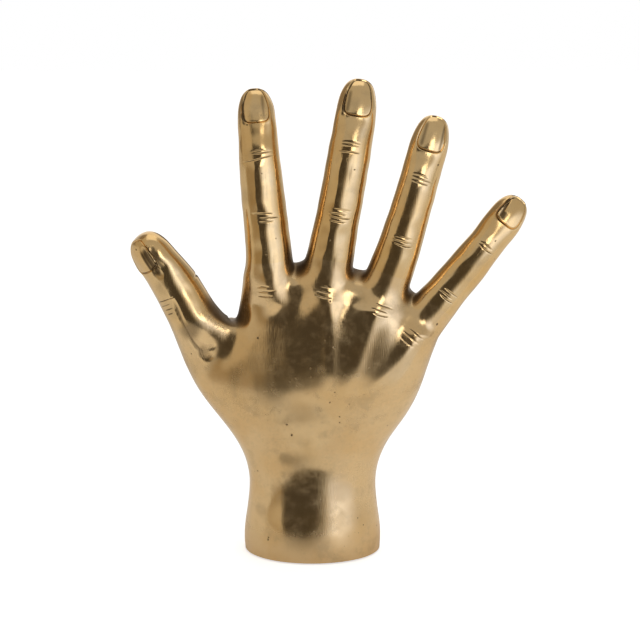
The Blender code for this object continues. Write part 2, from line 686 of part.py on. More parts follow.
def main():
    for obj in list(bpy.data.objects):
        bpy.data.objects.remove(obj)
    parts = bpy.data.collections.new("brass hand sculpture")
    cutters = bpy.data.collections.new("cutters")
    for collection in (parts, cutters):
        bpy.context.scene.collection.children.link(collection)
    form = hand_form(cutters)

    # Palm casting: the hand without its digits, hollow, with a pocket in the foot
    palm = bpy.data.objects.new("palm_casting", form.copy())
    parts.objects.link(palm)
    for name, digit in DIGITS.items():
        boolean(palm, "DIFFERENCE", seam_box(f"{name}_palm_seam", digit, 0.0, cutters))
    boolean(palm, "DIFFERENCE", casting_core(cutters))
    below = oval("below_rim", FOOT_WIDTH, FOOT_DEPTH, -WRIST_HEIGHT / 2, RIM_HEIGHT, cutters)
    boolean(palm, "DIFFERENCE", as_cutter(below))
    plate_low = FELT_THICKNESS + JOINT_GAP
    plate_high = plate_low + PLATE_THICKNESS
    ledge = plate_high + JOINT_GAP
    pocket_width = FOOT_WIDTH / 2 - RIM_WIDTH
    pocket_depth = FOOT_DEPTH / 2 - RIM_WIDTH
    pocket = oval("foot_pocket", pocket_width, pocket_depth, -CUTTER_OVERLAP, ledge, cutters)
    boolean(palm, "DIFFERENCE", as_cutter(pocket))
    for number, (x, y) in enumerate(screw_places(), start=1):
        lug = post(f"lug_{number}", x, y, LUG_RADIUS, ledge, ledge + LUG_HEIGHT, cutters)
        boolean(palm, "UNION", as_cutter(lug))
    for number, (x, y) in enumerate(screw_places(), start=1):
        depth = plate_low + SCREW_LENGTH + SCREW_CLEARANCE
        hole = post(f"lug_hole_{number}", x, y, SCREW_RADIUS + JOINT_GAP, 0.0, depth, cutters)
        boolean(palm, "DIFFERENCE", as_cutter(hole))
    for name, digit in DIGITS.items():
        boolean(palm, "DIFFERENCE", peg(f"{name}_socket", digit, JOINT_GAP, CUTTER_OVERLAP, cutters))
    finish(palm, brass("palm brass", 0.2))

    # Five digit castings, each with its tenon
    for name, digit in DIGITS.items():
        label = "thumb_casting" if name == "thumb" else f"{name}_finger_casting"
        casting = bpy.data.objects.new(label, form.copy())
        parts.objects.link(casting)
        boolean(casting, "INTERSECT", seam_box(f"{name}_seam", digit, JOINT_GAP, cutters))
        boolean(casting, "UNION", peg(f"{name}_tenon", digit, 0.0, TENON_ROOT, cutters))
        finish(casting, brass(f"{name} brass", 0.18))

    # Base plate with countersunk holes
    plate_width = pocket_width - JOINT_GAP
    plate_depth = pocket_depth - JOINT_GAP
    plate = oval("base_plate", plate_width, plate_depth, plate_low, plate_high, parts)
    head_low = plate_low + JOINT_GAP
    neck = head_low + SCREW_HEAD_HEIGHT
    wide, narrow = SCREW_HEAD_RADIUS + JOINT_GAP, SCREW_RADIUS + JOINT_GAP
    for number, (x, y) in enumerate(screw_places(), start=1):
        hole = post(f"plate_hole_{number}", x, y, narrow, 0.0, plate_high + CUTTER_OVERLAP, cutters)
        boolean(plate, "DIFFERENCE", as_cutter(hole))
        sink = post(f"plate_sink_{number}", x, y, wide, plate_low - SINK_OVERLAP, neck, cutters, narrow)
        boolean(plate, "DIFFERENCE", as_cutter(sink))
    finish(plate, brass("plate brass", 0.35))

    # Countersunk screws with a slot
    for number, (x, y) in enumerate(screw_places(), start=1):
        screw = post(f"base_screw_{number}", x, y, SCREW_HEAD_RADIUS, head_low, neck, parts, SCREW_RADIUS)
        shank_low = neck - SHANK_OVERLAP
        shank = post(f"shank_{number}", x, y, SCREW_RADIUS, shank_low, head_low + SCREW_LENGTH, cutters)
        boolean(screw, "UNION", as_cutter(shank))
        bm = bmesh.new()
        bmesh.ops.create_cube(bm, size=1.0)
        slot_size = (SCREW_HEAD_RADIUS * 3.0, SCREW_SLOT, SCREW_SLOT * 2.0)
        bmesh.ops.scale(bm, vec=Vector(slot_size) * MM, verts=bm.verts)
        bmesh.ops.translate(bm, vec=Vector((x, y, head_low)) * MM, verts=bm.verts)
        boolean(screw, "DIFFERENCE", as_cutter(new_object(f"slot_{number}", bm, cutters)))
        finish(screw, brass(f"screw brass {number}", 0.3))

    # Felt that the hand stands on
    pad = oval("felt_pad", plate_width - JOINT_GAP, plate_depth - JOINT_GAP, 0.0, FELT_THICKNESS, parts)
    finish(pad, felt("felt"))


main()
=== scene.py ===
"""Looks of the brass hand sculpture.

The castings are grown from the same cage as the solids, rounded further and carved: nails, engraved
creases over the joints, palm lines, dressed joints in the webs and the small dents of a hand-finished
casting. The foot keeps its plate, gets turned screws and a felt pad. Lengths are in millimetres
until a mesh is made.
"""

import logging
import math
from dataclasses import dataclass, field
from enum import Enum, IntEnum
from functools import partial
from typing import Callable, Iterable

import bmesh
import bpy
import numpy as np
from mathutils import Matrix, Vector


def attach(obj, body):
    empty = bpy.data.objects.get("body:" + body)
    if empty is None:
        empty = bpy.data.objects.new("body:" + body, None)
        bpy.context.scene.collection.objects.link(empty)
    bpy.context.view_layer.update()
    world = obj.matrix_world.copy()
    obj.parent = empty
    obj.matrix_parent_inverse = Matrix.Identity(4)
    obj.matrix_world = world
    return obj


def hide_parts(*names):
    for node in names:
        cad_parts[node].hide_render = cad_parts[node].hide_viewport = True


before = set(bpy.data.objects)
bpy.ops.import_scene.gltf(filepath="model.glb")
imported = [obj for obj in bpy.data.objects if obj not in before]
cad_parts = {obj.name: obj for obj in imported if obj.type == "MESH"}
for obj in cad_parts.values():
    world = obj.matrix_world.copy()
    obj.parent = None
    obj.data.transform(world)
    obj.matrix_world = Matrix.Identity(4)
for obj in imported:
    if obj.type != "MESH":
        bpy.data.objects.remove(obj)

LOG = logging.getLogger("brass hand")
MM = 0.001
BODY = "root"
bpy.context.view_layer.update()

Span = tuple[float, float]
Place = tuple[float, float, float]
Edges = tuple[float, float, float, float]
Colour = tuple[float, float, float, float]


def eased(low: float, high: float, value: np.ndarray | float) -> np.ndarray:
    """Rises smoothly from 0 at low to 1 at high."""
    share = np.clip((value - low) / (high - low), 0.0, 1.0)
    return share * share * (3.0 - 2.0 * share)


def within(edges: Edges, value: np.ndarray) -> np.ndarray:
    """Rises smoothly to 1 between the first two edges, and falls to 0 between the last two."""
    return eased(edges[0], edges[1], value) * (1.0 - eased(edges[2], edges[3], value))


def linked(name: str, data: bpy.types.ID) -> bpy.types.Object:
    """A new object of the scene."""
    made = bpy.data.objects.new(name, data)
    bpy.context.scene.collection.objects.link(made)
    return made


def evaluated_mesh(holder: bpy.types.Object) -> bpy.types.Mesh:
    """A new mesh of what an object's modifiers make of it."""
    graph = bpy.context.evaluated_depsgraph_get()
    return bpy.data.meshes.new_from_object(holder.evaluated_get(graph))


def mesh_from(bm: bmesh.types.BMesh, name: str) -> bpy.types.Mesh:
    """A new mesh from an editable one, which is freed."""
    mesh = bpy.data.meshes.new(name)
    bm.to_mesh(mesh)
    bm.free()
    return mesh


def surface(mesh: bpy.types.Mesh) -> tuple[np.ndarray, np.ndarray]:
    """Places of a mesh's points.

    Args:
        mesh: The mesh, in metres.

    Returns:
        Places in millimetres, and directions of the surface there.
    """
    points = np.empty(len(mesh.vertices) * 3)
    mesh.vertices.foreach_get("co", points)
    normals = np.empty(len(mesh.vertices) * 3, np.float32)
    mesh.vertex_normals.foreach_get("vector", normals)
    return points.reshape(-1, 3) / MM, normals.reshape(-1, 3).astype(float)


def in_section(place: Matrix, points: np.ndarray) -> tuple[np.ndarray, np.ndarray]:
    """Points in the axes of a digit's cross-section.

    Args:
        place: Place and turn of the section, in metres.
        points: Places in millimetres.

    Returns:
        The points across, through and along the digit, and the direction through it to the palm's side.
    """
    axes = np.array(place)
    return (points - axes[:3, 3] / MM) @ axes[:3, :3], axes[:3, 1]


class Row(IntEnum):
    """Rows of the cage, from the back of the hand to the palm."""

    BACK = 0
    SIDE = 1
    PALM = 2


class DigitName(Enum):
    """The five digits, by the start of their nodes' names."""

    INDEX = "index"
    MIDDLE = "middle"
    RING = "ring"
    LITTLE = "little"
    THUMB = "thumb"

    @property
    def node(self) -> str:
        """Name of the digit's casting in the frame."""
        return "thumb_casting" if self is DigitName.THUMB else f"{self.value}_finger_casting"

    @property
    def number(self) -> int:
        """The digit's number in the cage, from 1, where 0 is the palm."""
        return list(DigitName).index(self) + 1


FINGERS = (DigitName.INDEX, DigitName.MIDDLE, DigitName.RING, DigitName.LITTLE)


@dataclass(frozen=True)
class Station:
    """One level of the palm: its height and sides, and how far its columns follow the fingers."""

    height: float
    left: float
    right: float
    back: float
    palm: float
    squareness: float = 2.0
    finger_share: float = 0.0
    slant: float = 0.0


@dataclass(frozen=True)
class Knuckle:
    """Where a finger leaves the palm, and half the spacing of its three columns."""

    x: float
    y: float
    z: float
    half_breadth: float
    half_depth: float


@dataclass(frozen=True)
class Creases:
    """A group of engraved lines across a joint, placed along the digit's centre line.

    Negative places lie on the palm casting, below the digit's root.
    """

    at: float
    lines: int
    spacing: float
    half_length: float
    shift: float = 0.0
    tilt: float = 0.0


@dataclass(frozen=True)
class Digit:
    """A finger or thumb: its root, the lean of each bone, and its sizes at root, joints and nail."""

    root: Place
    tilts: tuple[float, ...]
    curls: tuple[float, ...]
    lengths: tuple[float, ...]
    breadths: tuple[float, ...]
    depths: tuple[float, ...]
    creases: tuple[Creases, ...]
    nail_turn: float = 0.0
    nail_spread: float = 1.17
    nail_flatness: float = 0.97
    nail_half_angle: float = 1.0
    nail_start: float = 0.3
    nail_stops: tuple[float, ...] = (0.2, 0.43, 0.68, 0.87, 0.965)
    joint_stops: tuple[float, ...] = (-4.5, -1.5, 1.5)
    first_stop: float = 4.0
    past_joint: float = 4.5
    bone_stop: float = 0.55
    nail_size_at: float = 0.55
    tip_share: float = 0.5
    tip_fullness: float = 2.6
    tip_bluntness: float = 0.45
    cap_rise: float = 1.2
    cap_reach: float = 4.0
    seam: float = 4.5
    ring_swell: float = 1.108
    joint_blend: float = 4.0

    @property
    def length(self) -> float:
        """Length of the centre line from root to tip."""
        return sum(self.lengths)

    @property
    def end_joint(self) -> float:
        """Distance of the last joint from the root."""
        return self.length - self.lengths[-1]

    def axis(self, bone: int) -> Vector:
        """Direction of a bone.

        Args:
            bone: Number of the bone, from the root.

        Returns:
            A unit vector towards the tip.
        """
        tilt = math.radians(self.tilts[bone])
        curl = math.radians(self.curls[bone])
        return Vector((math.sin(tilt) * math.cos(curl), math.sin(curl), math.cos(tilt) * math.cos(curl)))

    def straight_point(self, s: float) -> Vector:
        """Point of the centre line, with a sharp turn at each joint.

        Args:
            s: Distance from the root.

        Returns:
            The point.
        """
        point = Vector(self.root)
        for bone, length in enumerate(self.lengths[:-1]):
            if s <= length:
                return point + self.axis(bone) * s
            point = point + self.axis(bone) * length
            s -= length
        return point + self.axis(len(self.lengths) - 1) * s

    def section(self, s: float) -> tuple[Vector, Vector, Vector, Vector]:
        """Place and directions of the cross-section at a distance from the root.

        Args:
            s: Distance from the root.

        Returns:
            Centre, axis, across (to the little finger's side) and back directions.
        """
        before = self.straight_point(s - self.joint_blend)
        after = self.straight_point(s + self.joint_blend)
        centre = (before + after) / 4 + self.straight_point(s) / 2
        axis = (after - before).normalized()
        across = Vector((axis.z, 0.0, -axis.x)).normalized()
        return centre, axis, across, axis.cross(across) * -1.0

    def half_sizes(self, s: float) -> Span:
        """Half breadth and half depth, with a round tip.

        Args:
            s: Distance from the root.

        Returns:
            Half breadth and half depth.
        """
        middle_joint = self.lengths[0] if len(self.lengths) > 2 else self.end_joint / 2
        nail = self.end_joint + self.lengths[-1] * self.nail_size_at
        knots = (0.0, middle_joint, self.end_joint, nail)
        k = min(max(sum(s > knot for knot in knots) - 1, 0), len(knots) - 2)
        share = min((s - knots[k]) / (knots[k + 1] - knots[k]), 1.0)
        sizes = [(row[k] + (row[k + 1] - row[k]) * share) / 2 for row in (self.breadths, self.depths)]
        round_length = self.lengths[-1] * self.tip_share
        over = max(s - self.length + round_length, 0.0) / round_length
        tip = (1.0 - min(over, 1.0) ** self.tip_fullness) ** self.tip_bluntness
        return sizes[0] * tip, sizes[1] * tip

    def ring_point(self, s: float, i: int, j: int) -> Vector:
        """Cage point of a ring round the digit.

        Args:
            s: Distance of the ring from the root.
            i: -1, 0 or 1 across the digit.
            j: 1 at the back, 0 at the side and -1 at the palm.

        Returns:
            The point.
        """
        centre, axis, across, back = self.section(s)
        if i == 0 and j == 0:
            return centre + axis * (self.cap_rise if s > self.length - self.cap_reach else 0.0)
        half_breadth, half_depth = self.half_sizes(s)
        swell = self.ring_swell
        turned = math.atan2(j, i) - math.radians(self.nail_turn)
        from_nail = math.remainder(turned - math.pi / 2, 2.0 * math.pi)
        if s > self.end_joint + self.lengths[-1] * self.nail_start and abs(from_nail) < self.nail_half_angle:
            turned = math.pi / 2 + from_nail * self.nail_spread
            swell *= 1.0 if from_nail else self.nail_flatness
        radius = swell / math.hypot(math.cos(turned) / half_breadth, math.sin(turned) / half_depth)
        angle = turned + math.radians(self.nail_turn)
        return centre + (across * math.cos(angle) + back * math.sin(angle)) * radius

    def stops(self) -> list[float]:
        """Where the cage has its rings: close together at the creases, then the nail.

        Returns:
            Distances from the root.
        """
        end = [self.end_joint + step for step in self.joint_stops]
        end += [self.end_joint + self.lengths[-1] * share for share in self.nail_stops]
        if len(self.lengths) == 2:
            return [self.first_stop, self.end_joint * self.bone_stop] + end
        first = self.lengths[0]
        joint = [first + step for step in (*self.joint_stops, self.past_joint)]
        return [self.first_stop] + joint + [first + self.lengths[1] / 2] + end

    def placement(self, s: float) -> Matrix:
        """Place and turn of the section at s, in metres, with local Z along the digit."""
        centre, axis, across, back = self.section(s)
        return Matrix.Translation(centre * MM) @ Matrix((across, -back, axis)).transposed().to_4x4()

    def nail_placement(self, s: float) -> Matrix:
        """As placement, turned so that local -Y is the nail's side."""
        return self.placement(s) @ Matrix.Rotation(math.radians(-self.nail_turn), 4, "Z")


DIGITS: dict[DigitName, Digit] = {
    DigitName.INDEX: Digit(
        root=(-20.8, -11.5, 147.7),
        tilts=(-5.0, -5.4, -4.2),
        curls=(-2.0, 2.0, 12.0),
        lengths=(26.0, 30.0, 33.7),
        breadths=(23.8, 21.8, 20.3, 19.2),
        depths=(21.0, 19.5, 17.5, 15.5),
        creases=(
            Creases(at=57.6, lines=2, spacing=1.7, half_length=5.2, shift=0.4, tilt=0.06),
            Creases(at=54.5, lines=1, spacing=2.0, half_length=7.4, shift=-0.8, tilt=0.17),
            Creases(at=28.6, lines=1, spacing=2.0, half_length=6.2, shift=-0.3, tilt=-0.06),
            Creases(at=25.6, lines=2, spacing=1.9, half_length=5.0, shift=1.4, tilt=-0.05),
            Creases(at=-9.5, lines=3, spacing=2.6, half_length=4.8, shift=-3.2),
        ),
    ),
    DigitName.MIDDLE: Digit(
        root=(8.0, -14.0, 149.5),
        tilts=(10.8, 10.2, 9.2),
        curls=(-2.0, 2.0, 12.0),
        lengths=(24.0, 33.5, 36.3),
        breadths=(24.4, 22.2, 21.0, 20.2),
        depths=(21.5, 20.0, 18.0, 16.0),
        creases=(
            Creases(at=60.4, lines=2, spacing=1.7, half_length=5.2, shift=-0.2, tilt=0.05),
            Creases(at=57.0, lines=1, spacing=2.0, half_length=6.8, shift=0.4, tilt=0.04),
            Creases(at=26.4, lines=4, spacing=2.0, half_length=5.8, shift=0.2),
            Creases(at=-11.0, lines=3, spacing=2.7, half_length=4.6, shift=-0.4),
        ),
    ),
    DigitName.RING: Digit(
        root=(36.9, -14.8, 142.4),
        tilts=(18.8, 17.0, 15.2),
        curls=(-2.0, 2.0, 12.0),
        lengths=(18.0, 32.0, 34.8),
        breadths=(23.0, 21.2, 19.5, 19.2),
        depths=(20.5, 19.0, 17.0, 15.0),
        creases=(
            Creases(at=52.0, lines=3, spacing=2.0, half_length=5.6, shift=0.2, tilt=-0.05),
            Creases(at=21.5, lines=3, spacing=2.1, half_length=5.6),
            Creases(at=-13.0, lines=3, spacing=2.4, half_length=5.0, shift=1.0),
        ),
    ),
    DigitName.LITTLE: Digit(
        root=(58.9, -14.0, 127.2),
        tilts=(39.3, 38.6, 38.5),
        curls=(-2.0, 2.0, 12.0),
        lengths=(11.0, 29.5, 30.6),
        breadths=(22.4, 20.4, 18.6, 18.9),
        depths=(19.0, 17.5, 16.0, 14.0),
        creases=(
            Creases(at=40.5, lines=2, spacing=2.2, half_length=4.6),
            Creases(at=11.5, lines=3, spacing=2.1, half_length=5.0),
            Creases(at=-15.0, lines=3, spacing=3.0, half_length=5.2, shift=-0.6),
        ),
    ),
    DigitName.THUMB: Digit(
        root=(-54.6, -3.5, 112.6),
        tilts=(-28.0, -34.5),
        curls=(0.0, -4.0),
        lengths=(28.0, 31.8),
        breadths=(28.5, 25.6, 25.8, 23.4),
        depths=(26.0, 24.0, 22.5, 18.0),
        creases=(
            Creases(at=21.5, lines=4, spacing=2.4, half_length=7.0),
        ),
        nail_turn=45.0,
        first_stop=6.0,
        seam=9.0,
    ),
}


@dataclass(frozen=True)
class NailStep:
    """One inset of the nail's border: how far in, how deep, and how sharp its edge is."""

    inset: float
    depth: float
    sharpness: float


@dataclass(frozen=True)
class PalmForm:
    """A pad or hollow on the palm's side of the hand."""

    x: float
    z: float
    half_width: float
    half_height: float
    rise: float


@dataclass
class HandCage:
    """The coarse cage of the whole hand, grown from a grid by extrusion."""

    foot_width: float = 71.4
    foot_depth: float = 62.0
    wrist_width: float = 63.0
    wrist_depth: float = 47.0
    wrist_height: float = 41.0
    foot_tuck: float = 1.4
    foot_lip: float = 9.0
    back_rise: float = 5.0
    palm_thickness: float = 39.0
    tendon_rise: float = 1.0
    tendon_furrow: float = 0.3
    palm_turn: float = -0.12
    turn_middle: float = 5.0
    turn_sides: Span = (-42.0, 45.0)
    turn_heights: Span = (41.0, 95.0)
    back_round: float = 0.0028
    round_from: float = -15.0
    column_margin: float = 5.5
    knuckle_depth: float = 30.0
    knuckle_flare: float = 4.0
    knuckle_outer_edge: float = 0.66
    knuckle_inner_edge: float = 0.74
    knuckle_rings: tuple[float, ...] = (0.8, 0.18, 0.36)
    index_shoulder: float = 5.0
    shoulder_knuckle: float = 1.3
    shoulder_root: float = 0.3
    web_drop: float = 7.0
    web_drop_beside: float = 0.7
    last_column: int = 11
    foot_levels: tuple[Span, ...] = ((-25.0, 1.3), (-8.0, 0.5), (9.0, 0.6), (25.0, -0.2))
    thumb_station: int = 7
    nail_steps: tuple[NailStep, ...] = (
        NailStep(0.3, 0.0, 0.4),
        NailStep(0.7, -0.6, 0.6),
        NailStep(0.4, 0.75, 0.6),
    )
    palm_forms: tuple[PalmForm, ...] = (
        PalmForm(-34.0, 78.0, 20.0, 26.0, 7.0),
        PalmForm(34.0, 72.0, 16.0, 30.0, 4.5),
        PalmForm(4.0, 98.0, 15.0, 22.0, -5.0),
    )

    def __post_init__(self) -> None:
        """Works out the palm's stations and knuckles from the sizes."""
        half_wrist = self.wrist_depth / 2
        back = -half_wrist - self.back_rise
        web_palm = back + self.palm_thickness
        self.stations: list[Station] = [self.foot_station(*level) for level in self.foot_levels] + [
            self.foot_station(self.wrist_height),
            Station(57.0, -37.8, 37.6, -half_wrist - 1.2, half_wrist, 2.1, 0.3),
            Station(73.0, -51.6, 49.0, back + 1.8, half_wrist - 0.5, 2.2, 0.5, 1.0),
            Station(88.0, -63.2, 54.8, back, half_wrist - 2.5, 2.3, 0.7, 4.0),
            Station(102.0, -54.0, 57.6, back - 0.5, web_palm + 5.0, 2.4, 0.85, 9.0),
            Station(117.0, -40.0, 60.8, back + 1.0, web_palm, 2.6, 1.0, 14.0),
        ]
        half_depth = self.knuckle_depth / 2
        self.knuckles: dict[DigitName, Knuckle] = {
            DigitName.INDEX: Knuckle(-19.0, -12.0, 131.5, 9.5, half_depth),
            DigitName.MIDDLE: Knuckle(5.5, -12.5, 133.0, 8.8, half_depth + 0.5),
            DigitName.RING: Knuckle(30.0, -12.0, 128.5, 8.5, half_depth),
            DigitName.LITTLE: Knuckle(51.5, -10.0, 117.5, 9.0, half_depth - 1.5),
        }

    def foot_station(self, height: float, swell: float = 0.0) -> Station:
        """A level of the foot, which narrows in a smooth curve to the wrist.

        Args:
            height: Height above the table.
            swell: How far the cage stands out there, as the rounding draws it in.

        Returns:
            The station.
        """
        share = (1.0 - math.cos(math.pi * max(height, 0.0) / self.wrist_height)) / 2
        out = swell - self.foot_tuck * max(1.0 - height / self.foot_lip, 0.0)
        half_width = (self.foot_width + (self.wrist_width - self.foot_width) * share) / 2 + out
        half_depth = (self.foot_depth + (self.wrist_depth - self.foot_depth) * share) / 2 + out
        return Station(height, -half_width, half_width, -half_depth, half_depth)

    def column(self, column: int) -> tuple[DigitName, Knuckle, int]:
        """The finger, knuckle and place -1, 0 or 1 of a column across the hand."""
        finger, place = divmod(column, 3)
        return FINGERS[finger], self.knuckles[FINGERS[finger]], place - 1

    def column_share(self, column: int, finger_share: float) -> float:
        """How far across the palm a column lies.

        Args:
            column: Column number.
            finger_share: 0 for evenly turned columns, 1 for columns in line with the fingers.

        Returns:
            A share from 0 at the thumb's side to 1.
        """
        angle = math.pi - 2.0 * math.pi * (column + 1) / (2 * (self.last_column + 2))
        even = (math.cos(angle) + 1.0) / 2
        places = []
        for edge in (0, self.last_column, column):
            _, knuckle, place = self.column(edge)
            places.append(knuckle.x + place * knuckle.half_breadth)
        left, right = places[0] - self.column_margin, places[1] + self.column_margin
        return even * (1.0 - finger_share) + (places[2] - left) / (right - left) * finger_share

    def palm_point(self, level: int, column: int, row: int) -> Vector:
        """Cage point of the palm.

        Args:
            level: Number of the station.
            column: Column across the hand.
            row: Row from back to palm.

        Returns:
            The point.
        """
        station = self.stations[level]
        share = self.column_share(column, station.finger_share)
        if row == Row.SIDE and column in (0, self.last_column):
            share = column / self.last_column
        x = station.left + (station.right - station.left) * share
        z = station.height - station.slant * share * share
        bulge = max(1.0 - abs(2.0 * share - 1.0) ** station.squareness, 0.0) ** (1.0 / station.squareness)
        middle = (station.back + station.palm) / 2
        y = middle + (station.palm - middle) * bulge * (row - Row.SIDE)
        if row == Row.PALM:
            for form in self.palm_forms:
                near = ((x - form.x) / form.half_width) ** 2 + ((z - form.z) / form.half_height) ** 2
                y += form.rise * bulge * math.exp(-near)
        y += self.lean(x) * float(eased(*self.turn_heights, station.height))
        if row == Row.BACK and level >= self.thumb_station:
            ridge = 1.0 if column % 3 == 1 else -self.tendon_furrow
            y -= self.tendon_rise * ridge * (level - self.thumb_station + 1) / 3
        return Vector((x, y, z))

    def lean(self, x: float) -> float:
        """How far the turned palm lies back at the thumb's side and forward at the other."""
        away = min(max(x - self.turn_middle, self.turn_sides[0]), self.turn_sides[1])
        return self.palm_turn * away + self.back_round * min(away - self.round_from, 0.0) ** 2

    def knuckle_point(self, column: int, row: int) -> Vector:
        """Cage point of the ring through the knuckles.

        Args:
            column: Column across the hand.
            row: Row from back to palm.

        Returns:
            The point.
        """
        name, knuckle, place = self.column(column)
        lean = math.radians(DIGITS[name].tilts[0]) / 2
        across = Vector((math.cos(lean), 0.0, -math.sin(lean)))
        point = Vector((knuckle.x, knuckle.y, knuckle.z)) + across * (place * knuckle.half_breadth)
        point.y += self.lean(point.x)
        outer = column in (0, self.last_column)
        if row == Row.SIDE:
            flare = self.knuckle_flare + self.index_shoulder * self.shoulder_knuckle * (column == 0)
            return point + across * (place * flare if outer else 0.0)
        edge = 1.0
        if place:
            edge = self.knuckle_outer_edge if outer else self.knuckle_inner_edge
        return point + Vector((0.0, knuckle.half_depth * edge * (row - Row.SIDE), 0.0))

    def root_point(self, column: int, row: int) -> Vector:
        """Cage point of the finger roots, lowered at the back, and most beside a web.

        Args:
            column: Column across the hand.
            row: Row from back to palm.

        Returns:
            The point.
        """
        name, _, place = self.column(column)
        digit = DIGITS[name]
        point = digit.ring_point(0.0, place, Row.SIDE - row)
        drop = self.web_drop if row == Row.BACK else 0.0
        if column in (0, self.last_column) or place == 0:
            drop *= self.web_drop_beside
        point -= digit.axis(0) * drop
        if column == 0:
            point.x -= self.index_shoulder * self.shoulder_root
        return point

    def rings(self) -> list[Callable[[int, int], Vector]]:
        """The palm's rings from foot to finger roots, close together where the knuckles are creased.

        Returns:
            For each ring, what gives its point in a column and row.
        """

        def between(lower: Callable, upper: Callable, share: float) -> Callable[[int, int], Vector]:
            """A ring at a share of the way from one to another."""
            return lambda column, row: lower(column, row).lerp(upper(column, row), share)

        below, *above = self.knuckle_rings
        rings = [partial(self.palm_point, level) for level in range(len(self.stations))]
        rings.append(between(rings[-1], self.knuckle_point, below))
        rings.append(self.knuckle_point)
        rings += [between(self.knuckle_point, self.root_point, share) for share in above]
        return rings + [self.root_point]

    @staticmethod
    def extrude(bm: bmesh.types.BMesh, faces: list, keep: bool = False) -> tuple[list, list]:
        """Extrudes faces as one region.

        Args:
            bm: The cage.
            faces: Faces to extrude.
            keep: Whether the faces stay where they were too, as the foot does.

        Returns:
            The moved faces and their points.
        """
        made = bmesh.ops.extrude_face_region(bm, geom=faces)["geom"]
        if not keep:
            bmesh.ops.delete(bm, geom=faces, context="FACES")
        moved = [item for item in made if isinstance(item, bmesh.types.BMFace)]
        points = [item for item in made if isinstance(item, bmesh.types.BMVert)]
        return moved, points

    def sink_nail(self, bm: bmesh.types.BMesh, faces: list) -> None:
        """Sinks a groove round some faces and raises the nail inside it.

        Args:
            bm: The cage.
            faces: Faces of the nail.
        """
        crease = bm.edges.layers.float["crease_edge"]
        for step in self.nail_steps:
            border = bmesh.ops.inset_region(
                bm, faces=faces, thickness=step.inset * MM, depth=step.depth * MM, use_even_offset=True
            )["faces"]
            ring = set(border)
            for edge in {edge for face in faces for edge in face.edges}:
                if ring & set(edge.link_faces):
                    edge[crease] = step.sharpness

    def grow(self, bm: bmesh.types.BMesh, name: DigitName, faces: list, local: Callable) -> None:
        """Grows a digit ring by ring from four faces, and sinks its nail.

        Args:
            bm: The cage.
            name: Which digit.
            faces: The four faces that it grows from.
            local: Gives the place (i, j) of a point in its ring.
        """
        digit = DIGITS[name]
        stop_layer = bm.verts.layers.int["stop"]
        digit_layer = bm.verts.layers.int["digit"]
        stops = digit.stops()
        grown = set()
        for number, s in enumerate(stops, start=1):
            faces, points = self.extrude(bm, faces)
            for point in points:
                point[stop_layer] = number
                point[digit_layer] = name.number
                point.co = digit.ring_point(s, *local(point)) * MM
            grown.update(points)
        nail_stops = range(len(stops) - 3, len(stops) + 1)
        nail_side = {(-1, 0), (-1, 1), (0, 1)} if digit.nail_turn else {(-1, 1), (0, 1), (1, 1)}
        on_nail = {v for v in grown if v.is_valid and v[stop_layer] in nail_stops and local(v) in nail_side}
        self.sink_nail(bm, [face for face in bm.faces if on_nail.issuperset(face.verts)])

    def build(self) -> bmesh.types.BMesh:
        """Grows the whole cage.

        Returns:
            A closed mesh of quads with the layers column, row, level, stop and digit. A face's material
            number is that of its digit, from 1, or 0 on the palm.
        """
        bm = bmesh.new()
        layers = {name: bm.verts.layers.int.new(name) for name in ("column", "row", "level", "stop", "digit")}
        column, row, level_layer = layers["column"], layers["row"], layers["level"]
        bm.edges.layers.float.new("crease_edge")
        bmesh.ops.create_grid(bm, x_segments=self.last_column, y_segments=int(Row.PALM), size=1.0)
        for vert in bm.verts:
            vert[column] = round((vert.co.x + 1.0) / 2 * self.last_column)
            vert[row] = round((vert.co.y + 1.0) / 2 * Row.PALM)
            vert.co = self.palm_point(0, vert[column], vert[row]) * MM
        faces = list(bm.faces)
        for level, ring in enumerate(self.rings()):
            if level == 0:
                continue
            faces, points = self.extrude(bm, faces, keep=level == 1)
            for vert in points:
                vert[level_layer] = level
                vert.co = ring(vert[column], vert[row]) * MM
        for number, name in enumerate(FINGERS):
            first = number * 3
            columns = range(first, first + 3)
            block = [f for f in faces if f.is_valid and all(v[column] in columns for v in f.verts)]
            self.grow(bm, name, block, lambda v, first=first: (v[column] - first - 1, Row.SIDE - v[row]))
        start = self.thumb_station
        levels = range(start, start + 3)
        block = [f for f in bm.faces if all(v[column] == 0 and v[level_layer] in levels for v in f.verts)]
        self.grow(bm, DigitName.THUMB, block, lambda v: (v[level_layer] - start - 1, Row.SIDE - v[row]))
        for face in bm.faces:
            face.material_index = max(vert[layers["digit"]] for vert in face.verts)
        bmesh.ops.recalc_face_normals(bm, faces=list(bm.faces))
        return bm


@dataclass(frozen=True)
class SkinLine:
    """A line of the palm, or a fold on the back of the hand, through points (x, z)."""

    points: tuple[Span, ...]
    depth: float
    half_width: float
    side: float = 1.0
    # Painted shade in the fold's groove.
    darkening: float = 0.0
    samples: int = 60
    degree: int = 3

    def distance(self, x: np.ndarray, z: np.ndarray) -> tuple[np.ndarray, np.ndarray]:
        """Distance from the line, and how far along it the nearest place is, from 0 to 1.

        Args:
            x: Places along X.
            z: Places along Z.

        Returns:
            Distances and shares.
        """
        knots = np.array(self.points)
        shares = np.linspace(0.0, 1.0, self.samples)
        places = np.linspace(0.0, 1.0, len(knots))
        degree = min(len(knots) - 1, self.degree)
        fits = [np.polyfit(places, knots[:, axis], degree) for axis in (0, 1)]
        line = np.stack([np.polyval(fit, shares) for fit in fits], axis=1)
        gaps = np.hypot(x[:, None] - line[:, 0], z[:, None] - line[:, 1])
        nearest = gaps.argmin(axis=1)
        return gaps[np.arange(len(x)), nearest], shares[nearest]


